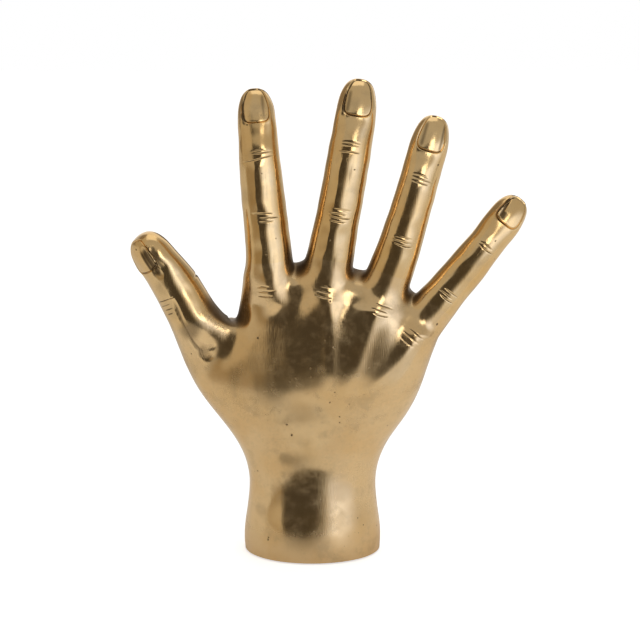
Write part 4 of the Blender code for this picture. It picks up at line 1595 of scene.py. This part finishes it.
class NodeMaker:
    """Adds nodes to a tree, with their settings, values and links."""

    def __init__(self, tree: bpy.types.NodeTree) -> None:
        """Takes the tree and empties it."""
        self.tree = tree
        tree.nodes.clear()

    @classmethod
    def of_material(cls, name: str) -> tuple[bpy.types.Material, "NodeMaker"]:
        """A new material, and what adds its nodes."""
        material = bpy.data.materials.new(name)
        material.use_nodes = True
        return material, cls(material.node_tree)

    def add(self, kind: str, values: dict | None = None, **settings) -> bpy.types.Node:
        """Adds a node.

        Args:
            kind: Type of the node. A shader node's is without its ShaderNode prefix.
            values: For each input, by name or number, a value or the output that feeds it.
            settings: Properties of the node.

        Returns:
            The node.
        """
        prefix = "" if kind.startswith(("GeometryNode", "NodeGroup")) else "ShaderNode"
        node = self.tree.nodes.new(prefix + kind)
        for name, value in settings.items():
            setattr(node, name, value)
        for name, value in (values or {}).items():
            self.feed(node.inputs[name], value)
        return node

    def feed(self, socket: bpy.types.NodeSocket, value: object) -> None:
        """Links an output to an input, or sets its value."""
        if isinstance(value, bpy.types.NodeSocket):
            self.tree.links.new(value, socket)
        else:
            socket.default_value = value

    def math(self, operation: str, *terms: object) -> bpy.types.NodeSocket:
        """A Math node's output."""
        return self.add("Math", dict(enumerate(terms)), operation=operation).outputs[0]

    def ramp(
        self, value: object, low: float, high: float, start: float = 0.0, end: float = 1.0
    ) -> bpy.types.NodeSocket:
        """A smooth rise from start at low to end at high."""
        values = {"Value": value, "From Min": low, "From Max": high, "To Min": start, "To Max": end}
        return self.add("MapRange", values, interpolation_type="SMOOTHSTEP").outputs["Result"]

    def mix(self, share: object, first: object, second: object) -> bpy.types.NodeSocket:
        """A mix of two colours."""
        return self.add("Mix", {0: share, 6: first, 7: second}, data_type="RGBA").outputs[2]

    def noise(
        self, vector: object, scale: float, detail: float = 3.0, roughness: float = 0.55
    ) -> bpy.types.NodeSocket:
        """A noise's factor."""
        values = {"Vector": vector, "Scale": scale, "Detail": detail, "Roughness": roughness}
        return self.add("TexNoise", values).outputs["Fac"]

    def bump(self, strength: float, depth: float, height: object) -> bpy.types.NodeSocket:
        """A relief's direction of the surface."""
        values = {"Strength": strength, "Distance": depth, "Height": height}
        return self.add("Bump", values).outputs[0]


@dataclass(frozen=True)
class BrassFinish:
    """Polished cast brass: painted shade and patina in its hollows, webs and grooves, matt on filed joints,
    pitted and finely scratched.
    """

    name: str
    colour: Colour = (0.80, 0.565, 0.295, 1.0)
    warm: Colour = (0.76, 0.505, 0.235, 1.0)
    smoky: Colour = (0.56, 0.40, 0.21, 1.0)
    # Colour of the painted shade in hollows, webs, folds and nail grooves, and of patina.
    shade_and_patina_colour: Colour = (0.10, 0.062, 0.030, 1.0)
    polish: float = 0.12
    satin: float = 0.20
    filed: float = 0.10
    haze: float = 0.14
    cloud_scale: float = 38.0
    smoke_scale: float = 95.0
    haze_scale: float = 170.0
    speck_scale: float = 900.0
    pit_scale: float = 420.0
    pit_cluster_scale: float = 60.0
    pit_stray: float = 0.0012
    pit_depth: float = 0.00005
    scratch_scale: float = 2600.0
    scratch_turns: Span = (0.25, 1.35)
    scratch_depth: float = 0.000018

    def material(self) -> bpy.types.Material:
        """Builds the material.

        Returns:
            The material.
        """
        material, make = NodeMaker.of_material(self.name)
        where = make.add("TexCoord").outputs["Object"]
        recess, rough, satin = (
            make.add("Attribute", attribute_name=name).outputs["Fac"] for name in ("recess", "rough", "satin")
        )
        cloud = make.noise(where, self.cloud_scale, 4.0)
        smoke = make.ramp(make.noise(where, self.smoke_scale, 6.0, 0.65), 0.48, 0.72)
        speck = make.noise(where, self.speck_scale, 3.0, 0.7)
        scratch = self.scratches(make, where)
        pit = self.pits(make, where, satin)

        # Dark specks on the filed webs.
        darkening = make.math("MULTIPLY", rough, make.ramp(speck, 0.48, 0.68))
        # Painted shade and patina from the carving, the specks and the pits darken the brass towards its dark
        # colour.
        dark = make.math("MAXIMUM", make.ramp(recess, 0.12, 0.75), make.math("MULTIPLY", darkening, 0.75))
        dark = make.math("MAXIMUM", dark, make.math("MULTIPLY", pit, 0.8))
        metal = make.mix(make.ramp(cloud, 0.35, 0.70), self.colour, self.warm)
        metal = make.mix(make.math("MULTIPLY", smoke, 0.5), metal, self.smoky)
        colour = make.mix(make.math("MULTIPLY", dark, 0.92), metal, self.shade_and_patina_colour)

        base = make.math("MULTIPLY_ADD", satin, self.satin - self.polish, self.polish)
        base = make.math("ADD", base, make.ramp(cloud, 0.40, 0.75, 0.0, 0.05))
        base = make.math("ADD", base, make.math("MULTIPLY", smoke, self.haze))
        base = make.math("ADD", base, make.math("MULTIPLY", make.math("ABSOLUTE", scratch), 0.05))
        worn = make.math("MULTIPLY", rough, self.filed)
        roughness = make.math("ADD", make.math("ADD", base, worn), make.math("MULTIPLY", dark, 0.25))

        haze = make.noise(where, self.haze_scale, 7.0, 0.7)
        metallic = make.ramp(haze, 0.45, 0.68, 1.0, 1.0 - self.haze)
        fine = make.bump(1.0, self.scratch_depth, scratch)
        sunk = make.math("SUBTRACT", make.math("MULTIPLY", darkening, -0.7), pit)
        bump = make.bump(1.0, self.pit_depth, sunk)
        make.feed(bump.node.inputs["Normal"], fine)
        shader = make.add(
            "BsdfPrincipled",
            {"Base Color": colour, "Metallic": metallic, "Roughness": roughness, "Normal": bump},
        )
        make.add("OutputMaterial", {"Surface": shader.outputs[0]})
        return material

    def scratches(self, make: NodeMaker, where: object) -> bpy.types.NodeSocket:
        """Fine marks of the polishing wheel, in two directions.

        Args:
            make: Adds the nodes.
            where: Place on the object.

        Returns:
            Height of the marks, about -1 to 1.
        """
        marks = []
        for turn in self.scratch_turns:
            drawn_out = {"Vector": where, "Rotation": (0.0, turn, 0.0), "Scale": (1.0, 0.6, 0.05)}
            mapping = make.add("Mapping", drawn_out).outputs[0]
            marks.append(make.math("SUBTRACT", make.noise(mapping, self.scratch_scale, 2.0), 0.5))
        return make.math("ADD", *marks)

    def pits(self, make: NodeMaker, where: object, satin: object) -> bpy.types.NodeSocket:
        """Casting pits in clusters, most of them where the brass was polished least.

        Args:
            make: Adds the nodes.
            where: Place on the object.
            satin: How dull the polish is.

        Returns:
            How deep in a pit each place is, from 0 to 1.
        """
        strayed = make.add("TexNoise", {"Vector": where, "Scale": 700.0, "Detail": 2.0}).outputs["Color"]
        stray = (self.pit_stray, self.pit_stray, self.pit_stray)
        moved = make.add("VectorMath", {0: strayed, 1: stray}, operation="MULTIPLY").outputs[0]
        shifted = make.add("VectorMath", {0: where, 1: moved}, operation="ADD").outputs[0]
        cells = make.add("TexVoronoi", {"Vector": shifted, "Scale": self.pit_scale, "Randomness": 1.0})
        chance = make.add("SeparateColor", {"Color": cells.outputs["Color"]}).outputs
        size = make.ramp(chance[1], 0.0, 1.0, 0.04, 0.24)
        hole = make.ramp(make.math("SUBTRACT", cells.outputs["Distance"], size), 0.06, -0.03)
        share = make.ramp(make.noise(where, self.pit_cluster_scale, 3.0), 0.53, 0.72, 1.0, 0.78)
        share = make.math("SUBTRACT", share, make.math("MULTIPLY", satin, 0.03))
        return make.math("MULTIPLY", hole, make.math("GREATER_THAN", chance[0], share))


class ToolMarks(Enum):
    """What left its marks on machined brass."""

    LATHE = "RINGS"
    ROLLER = "BANDS"


@dataclass(frozen=True)
class MachinedFinish:
    """Brass with the fine rings of a lathe, or the lines of a rolled sheet."""

    name: str
    colour: Colour
    roughness: float
    line_scale: float
    marks: ToolMarks
    line_depth: float = 0.00002
    line_roughness: float = 0.12
    shade: float = 0.7
    cloud_scale: float = 90.0

    def material(self) -> bpy.types.Material:
        """Builds the material.

        Returns:
            The material.
        """
        material, make = NodeMaker.of_material(self.name)
        where = make.add("TexCoord").outputs["Object"]
        uneven = {"Vector": where, "Scale": self.line_scale, "Distortion": 3.0, "Detail": 2.0}
        wave = make.add("TexWave", uneven, wave_type=self.marks.value, rings_direction="Z")
        lines = wave.outputs["Fac"]
        cloud = make.noise(where, self.cloud_scale)
        darker = tuple(part * self.shade for part in self.colour[:3]) + (1.0,)
        colour = make.mix(make.ramp(cloud, 0.35, 0.75), self.colour, darker)
        roughness = make.ramp(lines, 0.0, 1.0, self.roughness, self.roughness + self.line_roughness)
        bump = make.bump(0.6, self.line_depth, lines)
        shader = make.add(
            "BsdfPrincipled",
            {"Base Color": colour, "Metallic": 1.0, "Roughness": roughness, "Normal": bump},
        )
        make.add("OutputMaterial", {"Surface": shader.outputs[0]})
        return material


@dataclass(frozen=True)
class FeltFinish:
    """Pressed wool felt: tangled fibres and a soft sheen."""

    name: str
    light: Colour = (0.030, 0.060, 0.038, 1.0)
    dark: Colour = (0.012, 0.026, 0.016, 1.0)
    fibre_scale: float = 1400.0
    fibre_depth: float = 0.0002
    cloud_scale: float = 120.0

    def material(self) -> bpy.types.Material:
        """Builds the material.

        Returns:
            The material.
        """
        material, make = NodeMaker.of_material(self.name)
        where = make.add("TexCoord").outputs["Object"]
        tangle = make.noise(where, self.fibre_scale, 5.0, 0.7)
        cloud = make.noise(where, self.cloud_scale)
        colour = make.mix(make.ramp(make.math("ADD", tangle, cloud), 0.7, 1.3), self.dark, self.light)
        bump = make.bump(0.8, self.fibre_depth, tangle)
        shader = make.add(
            "BsdfPrincipled",
            {"Base Color": colour, "Roughness": 0.95, "Sheen Weight": 0.25, "Normal": bump},
        )
        make.add("OutputMaterial", {"Surface": shader.outputs[0]})
        return material


PALM_BRASS = BrassFinish("palm brass")
DIGIT_BRASS = BrassFinish(
    "digit brass", colour=(0.80, 0.555, 0.27, 1.0), warm=(0.76, 0.49, 0.205, 1.0), polish=0.10, haze=0.07
)
SCREW_BRASS = MachinedFinish("screw brass", (0.70, 0.50, 0.24, 1.0), 0.25, 900.0, ToolMarks.LATHE)
PLATE_BRASS = MachinedFinish("plate brass", (0.68, 0.46, 0.20, 1.0), 0.32, 500.0, ToolMarks.ROLLER)
GREEN_FELT = FeltFinish("green felt")


@dataclass
class Foot:
    """What closes the foot: the plate's finish, three countersunk screws and a felt pad."""

    palm: PalmCasting
    lug_radius: float = 4.5
    felt_thickness: float = 1.8
    felt_gap: float = 0.6
    felt_sides: int = 160
    felt_round: float = 0.5
    felt_fuzz: float = 0.0025
    felt_seed: int = 8
    felt_sharp: float = 50.0
    screw_count: int = 3
    screw_radius: float = 1.5
    screw_length: float = 11.0
    screw_tip: float = 0.7
    screw_head_radius: float = 3.0
    screw_head_height: float = 1.7
    screw_head_edge: Span = (0.12, 0.1)
    screw_neck: float = 0.2
    screw_point: float = 0.8
    screw_slot: float = 0.8
    screw_sides: int = 48
    screw_sharp: float = 35.0
    thread_pitch: float = 0.7
    thread_depth: float = 0.25
    thread_rings: int = 4
    thread_ends: Span = (0.3, 0.4)
    head_low: float = 2.4

    def screw_profile(self) -> list[Span]:
        """The screw's half outline from its head, which faces down, to its tip.

        Returns:
            Radius and height of each point.
        """
        neck, head = self.screw_head_height, self.screw_head_radius
        edge_width, edge_height = self.screw_head_edge
        profile = [(0.0, 0.0), (head - edge_width, 0.0), (head, edge_height), (self.screw_radius, neck)]
        rise = self.thread_pitch / self.thread_rings
        steps = int((self.screw_length - neck - self.screw_point) / rise)
        profile += [(self.screw_radius, neck + self.screw_neck + step * rise) for step in range(steps)]
        return profile + [(self.screw_radius * self.screw_tip, self.screw_length), (0.0, self.screw_length)]

    def screw_mesh(self) -> bpy.types.Mesh:
        """One screw: a turned profile with a thread and a slot across its head.

        Returns:
            The mesh.
        """
        bm = bmesh.new()
        points = [bm.verts.new((radius * MM, 0.0, height * MM)) for radius, height in self.screw_profile()]
        edges = [bm.edges.new(pair) for pair in zip(points, points[1:])]
        bmesh.ops.spin(
            bm,
            geom=points + edges,
            cent=(0.0, 0.0, 0.0),
            axis=(0.0, 0.0, 1.0),
            angle=2.0 * math.pi,
            steps=self.screw_sides,
        )
        bmesh.ops.remove_doubles(bm, verts=list(bm.verts), dist=1e-6)
        low = (self.screw_head_height + self.thread_ends[0]) * MM
        high = (self.screw_length - self.thread_ends[1]) * MM
        for vert in bm.verts:
            if low < vert.co.z < high:
                turn = math.atan2(vert.co.y, vert.co.x) / (2.0 * math.pi)
                ridge = abs(2.0 * ((vert.co.z / MM / self.thread_pitch - turn) % 1.0) - 1.0)
                cut = 1.0 - self.thread_depth / self.screw_radius * ridge
                vert.co.x *= cut
                vert.co.y *= cut
        bmesh.ops.recalc_face_normals(bm, faces=list(bm.faces))
        return self.slotted(mesh_from(bm, "screw"))

    def slotted(self, mesh: bpy.types.Mesh) -> bpy.types.Mesh:
        """Cuts the slot.

        Args:
            mesh: The turned screw.

        Returns:
            The screw with its slot.
        """
        bm = bmesh.new()
        bmesh.ops.create_cube(bm, size=1.0)
        size = (self.screw_head_radius * 3.0 * MM, self.screw_slot * MM, self.screw_slot * 2.0 * MM)
        bmesh.ops.scale(bm, vec=size, verts=bm.verts)
        screw = linked("screw", mesh)
        cutter = linked("slot", mesh_from(bm, "slot"))
        cut = screw.modifiers.new("slot", "BOOLEAN")
        cut.operation = "DIFFERENCE"
        cut.solver = "EXACT"
        cut.object = cutter
        result = evaluated_mesh(screw)
        for item in (screw, cutter):
            bpy.data.objects.remove(item)
        result.shade_smooth()
        result.set_sharp_from_angle(angle=math.radians(self.screw_sharp))
        return result

    @staticmethod
    def ring_tree() -> bpy.types.NodeTree:
        """Geometry nodes that set an object out on an oval.

        Returns:
            The tree, with the inputs Item, Count, Half width, Half depth, Height and Finish.
        """
        tree = bpy.data.node_groups.new("items on an oval", "GeometryNodeTree")
        face = tree.interface
        sockets = (
            ("Item", "NodeSocketObject"),
            ("Count", "NodeSocketInt"),
            ("Half width", "NodeSocketFloat"),
            ("Half depth", "NodeSocketFloat"),
            ("Height", "NodeSocketFloat"),
            ("Finish", "NodeSocketMaterial"),
        )
        for name, kind in sockets:
            face.new_socket(name, in_out="INPUT", socket_type=kind)
        face.new_socket("Geometry", in_out="OUTPUT", socket_type="NodeSocketGeometry")
        make = NodeMaker(tree)
        given = make.add("NodeGroupInput").outputs
        circle = make.add("GeometryNodeMeshCircle", {"Vertices": given["Count"], "Radius": 1.0})
        quarter = (0.0, 0.0, math.pi / 2)
        turned = make.add("GeometryNodeTransform", {"Geometry": circle.outputs[0], "Rotation": quarter})
        sizes = make.add("CombineXYZ", {"X": given["Half width"], "Y": given["Half depth"], "Z": 1.0})
        lift = make.add("CombineXYZ", {"Z": given["Height"]})
        placed = make.add(
            "GeometryNodeTransform",
            {"Geometry": turned.outputs[0], "Scale": sizes.outputs[0], "Translation": lift.outputs[0]},
        )
        item = make.add("GeometryNodeObjectInfo", {"Object": given["Item"]})
        copies = make.add(
            "GeometryNodeInstanceOnPoints",
            {"Points": placed.outputs[0], "Instance": item.outputs["Geometry"]},
        )
        real = make.add("GeometryNodeRealizeInstances", {"Geometry": copies.outputs[0]})
        dressed = {"Geometry": real.outputs[0], "Material": given["Finish"]}
        finished = make.add("GeometryNodeSetMaterial", dressed)
        make.add("NodeGroupOutput", {"Geometry": finished.outputs[0]})
        return tree

    def screws(self, material: bpy.types.Material) -> bpy.types.Object:
        """The three base screws.

        Args:
            material: Their finish.

        Returns:
            The piece.
        """
        screw = linked("one_screw", self.screw_mesh())
        holder = linked("base_screws", bpy.data.meshes.new("base_screws"))
        half_width, half_depth = self.palm.pocket(self.palm.ledge_width + self.lug_radius / 2)
        settings = {
            "Item": screw,
            "Count": self.screw_count,
            "Half width": half_width * MM,
            "Half depth": half_depth * MM,
            "Height": self.head_low * MM,
            "Finish": material,
        }
        tree = self.ring_tree()
        nodes = holder.modifiers.new("set out", "NODES")
        nodes.node_group = tree
        for socket in tree.interface.items_tree:
            if socket.in_out == "INPUT":
                nodes[socket.identifier] = settings[socket.name]
        mesh = evaluated_mesh(holder)
        holder.modifiers.remove(nodes)
        holder.data = mesh
        bpy.data.objects.remove(screw)
        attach(holder, BODY)
        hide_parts(*[f"base_screw_{number}" for number in range(1, self.screw_count + 1)])
        return holder

    def felt(self, material: bpy.types.Material) -> bpy.types.Object:
        """The felt pad, with a cut edge a little rounded and fibrous.

        Args:
            material: Its finish.

        Returns:
            The piece.
        """
        half_width, half_depth = self.palm.pocket(self.felt_gap)
        top, edge = self.felt_thickness, self.felt_round
        # Share of the oval, inset from it and height of each ring, with the upper half as the lower one.
        lower = [(0.5, 0.0, 0.0), (0.9, 0.0, 0.0)]
        lower += [(1.0, edge, 0.0), (1.0, edge * 0.3, edge * 0.3), (1.0, 0.0, edge)]
        upper = [(share, inset, top - height) for share, inset, height in reversed(lower)]
        chance = np.random.default_rng(self.felt_seed)
        bm = bmesh.new()
        loops = []
        for share, inset, height in [*lower, (1.0, 0.0, top / 2), *upper]:
            ring = bmesh.ops.create_circle(bm, segments=self.felt_sides, radius=1.0)["verts"]
            for vert in ring:
                fuzz = 1.0 + self.felt_fuzz * chance.normal() * (share == 1.0)
                vert.co.x *= (half_width * share - inset) * fuzz * MM
                vert.co.y *= (half_depth * share - inset) * fuzz * MM
                vert.co.z = height * MM
            loops.append(list({edge for vert in ring for edge in vert.link_edges}))
        for below, above in zip(loops, loops[1:]):
            bmesh.ops.bridge_loops(bm, edges=below + above)
        for loop in (loops[0], loops[-1]):
            bmesh.ops.contextual_create(bm, geom=loop)
        bmesh.ops.recalc_face_normals(bm, faces=list(bm.faces))
        mesh = mesh_from(bm, "foot_felt")
        mesh.shade_smooth()
        mesh.set_sharp_from_angle(angle=math.radians(self.felt_sharp))
        mesh.materials.append(material)
        piece = linked("foot_felt", mesh)
        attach(piece, BODY)
        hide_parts("felt_pad")
        return piece

    @staticmethod
    def dress_plate(material: bpy.types.Material) -> None:
        """Gives the plate from the frame its finish."""
        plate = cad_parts["base_plate"]
        plate.data.materials.clear()
        plate.data.materials.append(material)


@dataclass(frozen=True)
class Panel:
    """A part of the surroundings by direction: azimuth 0 is the camera's side, and grows to the right."""

    left: float
    right: float
    low: float
    high: float
    colour: Colour
    soft: float = 5.0
    soft_right: float = 5.0


@dataclass(frozen=True)
class Lamp:
    """A soft lamp: its place and sizes in metres, and its power in watts."""

    name: str
    place: Place
    width: float
    height: float
    power: float


@dataclass
class Studio:
    """White floor and tent round the object, with the dark opening that the camera looks in by."""

    target: Place = (3.84, 0.0, 118.9)
    distance: float = 1100.0
    elevation: float = 12.0
    lens: float = 123.5
    tent: Colour = (0.52, 0.52, 0.51, 1.0)
    floor_glow: float = 0.60
    floor_mirrored: float = 0.08
    floor_right: float = 0.07
    floor_right_reach: float = 90.0
    floor_white: Colour = (0.92, 0.92, 0.92, 1.0)
    floor_front: float = 138.0
    floor_side: float = 2500.0
    white: Colour = (1.0, 1.0, 1.0, 1.0)
    lamps: tuple[Lamp, ...] = (
        Lamp("overhead", (0.0, 0.1, 1.2), 0.9, 0.9, 1.6),
        Lamp("right", (0.22, -0.66, 0.38), 0.20, 0.26, 0.36),
    )
    panels: tuple[Panel, ...] = (
        Panel(-80.0, 80.0, -60.0, -23.0, (0.77, 0.76, 0.73, 1.0), 10.0, 10.0),
        Panel(18.0, 76.0, -60.0, 10.0, (0.74, 0.77, 0.84, 1.0), 12.0, 10.0),
        Panel(-130.0, -38.0, -4.0, 65.0, (0.56, 0.52, 0.44, 1.0), 8.0, 4.0),
        Panel(-130.0, -38.0, -16.0, -1.0, (0.35, 0.29, 0.20, 1.0), 12.0, 4.0),
        Panel(-102.0, -78.0, -25.0, 50.0, (0.52, 0.48, 0.40, 1.0), 8.0, 8.0),
        Panel(22.0, 60.0, -15.0, 15.0, (1.06, 1.20, 1.62, 1.0), 16.0, 28.0),
        Panel(27.0, 43.0, -9.0, 11.0, (1.35, 1.50, 1.90, 1.0), 8.0, 10.0),
        Panel(-38.0, 13.0, -21.5, 23.0, (0.070, 0.062, 0.050, 1.0), 2.0, 16.0),
        Panel(140.0, 204.0, -60.0, 60.0, (1.00, 1.00, 1.00, 1.0), 12.0, 12.0),
        Panel(158.0, 176.0, -22.0, 24.0, (0.09, 0.08, 0.07, 1.0), 4.0, 8.0),
        Panel(100.0, 116.0, -60.0, 60.0, (0.30, 0.27, 0.23, 1.0), 8.0, 8.0),
        Panel(-150.0, -108.0, -60.0, 60.0, (0.28, 0.24, 0.19, 1.0), 8.0, 8.0),
    )

    def build(self) -> None:
        """Makes camera, floor, surroundings and lamps."""
        self.camera()
        self.floor()
        self.surroundings()
        self.set_lamps()
        bpy.context.scene.view_settings.view_transform = "Standard"

    def camera(self) -> None:
        """The camera at the photograph's place."""
        data = bpy.data.cameras.new("camera")
        data.lens = self.lens
        data.sensor_width = 36.0
        data.clip_end = 50.0
        camera = linked("camera", data)
        height = math.radians(self.elevation)
        towards = Vector((0.0, -math.cos(height), math.sin(height)))
        camera.location = (Vector(self.target) + towards * self.distance) * MM
        camera.rotation_euler = towards.to_track_quat("Z", "Y").to_euler()
        bpy.context.scene.camera = camera

    def floor(self) -> None:
        """A white table top that ends in front of the object, just outside the picture, glowing in the
        brass's reflections more towards the right: painted light.
        """
        material, make = NodeMaker.of_material("white table")
        ray = make.add("LightPath").outputs
        mirrored = make.math("MAXIMUM", ray["Is Glossy Ray"], ray["Is Transmission Ray"])
        seen = make.math("MULTIPLY", ray["Is Camera Ray"], self.floor_glow)
        across = make.add("SeparateXYZ", {0: make.add("TexCoord").outputs["Object"]}).outputs[0]
        # Painted light: in reflections the table glows, more towards the right.
        reach = self.floor_right_reach * MM
        lit = make.ramp(across, 0.0, reach, self.floor_mirrored, self.floor_mirrored + self.floor_right)
        level = make.math("ADD", seen, make.math("MULTIPLY", mirrored, lit))
        glow = make.add("Emission", {"Color": self.white, "Strength": level})
        paper = make.add("BsdfDiffuse", {"Color": self.floor_white, "Roughness": 0.0})
        both = make.add("AddShader", {0: glow.outputs[0], 1: paper.outputs[0]})
        make.add("OutputMaterial", {"Surface": both.outputs[0]})
        bm = bmesh.new()
        side, front = self.floor_side * MM, self.floor_front * MM
        corners = ((-side, -front), (side, -front), (side, side), (-side, side))
        bm.faces.new([bm.verts.new((x, y, 0.0)) for x, y in corners])
        mesh = mesh_from(bm, "floor")
        mesh.materials.append(material)
        floor = linked("floor", mesh)

    def surroundings(self) -> None:
        """The tent as the world, white to the camera."""
        world = bpy.data.worlds.new("tent")
        world.use_nodes = True
        bpy.context.scene.world = world
        make = NodeMaker(world.node_tree)
        direction = make.add("SeparateXYZ", {0: make.add("TexCoord").outputs["Generated"]}).outputs
        azimuth = make.math("ARCTAN2", direction[0], make.math("MULTIPLY", direction[1], -1.0))
        height = make.math("ARCSINE", direction[2])
        colour = self.tent
        for panel in self.panels:
            soft, soft_right = math.radians(panel.soft) / 2, math.radians(panel.soft_right) / 2
            low, high = math.radians(panel.low), math.radians(panel.high)
            half = math.radians(panel.right - panel.left) / 2
            away = make.math("SUBTRACT", azimuth, math.radians(panel.left + panel.right) / 2)
            away = make.math("WRAP", away, math.pi, -math.pi)
            past_left = make.ramp(away, -half - soft, -half + soft)
            before_right = make.ramp(away, half + soft_right, half - soft_right)
            across = make.math("MULTIPLY", past_left, before_right)
            above = make.ramp(height, low - soft, low + soft)
            below = make.ramp(height, high + soft, high - soft)
            share = make.math("MULTIPLY", across, make.math("MULTIPLY", above, below))
            colour = make.mix(share, colour, panel.colour)
        ray = make.add("LightPath").outputs
        colour = make.mix(ray["Is Camera Ray"], colour, self.white)
        background = make.add("Background", {"Color": colour, "Strength": 1.0})
        make.add("OutputWorld", {"Surface": background.outputs[0]})

    def set_lamps(self) -> None:
        """A soft lamp overhead, and an upright one to the right of the camera that the fingers mirror."""
        for lamp in self.lamps:
            data = bpy.data.lights.new(lamp.name, "AREA")
            data.shape = "RECTANGLE"
            data.size = lamp.width
            data.size_y = lamp.height
            data.energy = lamp.power
            placed = linked(lamp.name, data)
            placed.location = lamp.place
            aim = Vector(self.target) * MM - Vector(lamp.place)
            placed.rotation_euler = aim.to_track_quat("-Z", "Y").to_euler()


def main() -> None:
    """Builds the sculpture and its surroundings."""
    logging.basicConfig(level=logging.INFO)
    hand = HandCage()
    cage = hand.build()
    carving = Carving()
    palm = PalmCasting("palm_casting", "palm_brass", cage=hand)
    digits = [DigitCasting(name.node, "digit_brass", name=name) for name in DigitName]
    finishes = {"palm_brass": PALM_BRASS.material(), "digit_brass": DIGIT_BRASS.material()}
    for casting in [palm, *digits]:
        piece = casting.build(cage, carving, finishes[casting.slot])
        LOG.info("%s: %d faces", piece.name, len(piece.data.polygons))
    cage.free()
    foot = Foot(palm)
    for piece in (foot.screws(SCREW_BRASS.material()), foot.felt(GREEN_FELT.material())):
        LOG.info("%s: %d faces", piece.name, len(piece.data.polygons))
    foot.dress_plate(PLATE_BRASS.material())
    LOG.info("base_plate: finish %s", PLATE_BRASS.name)
    Studio().build()


if __name__ == "__main__":
    main()
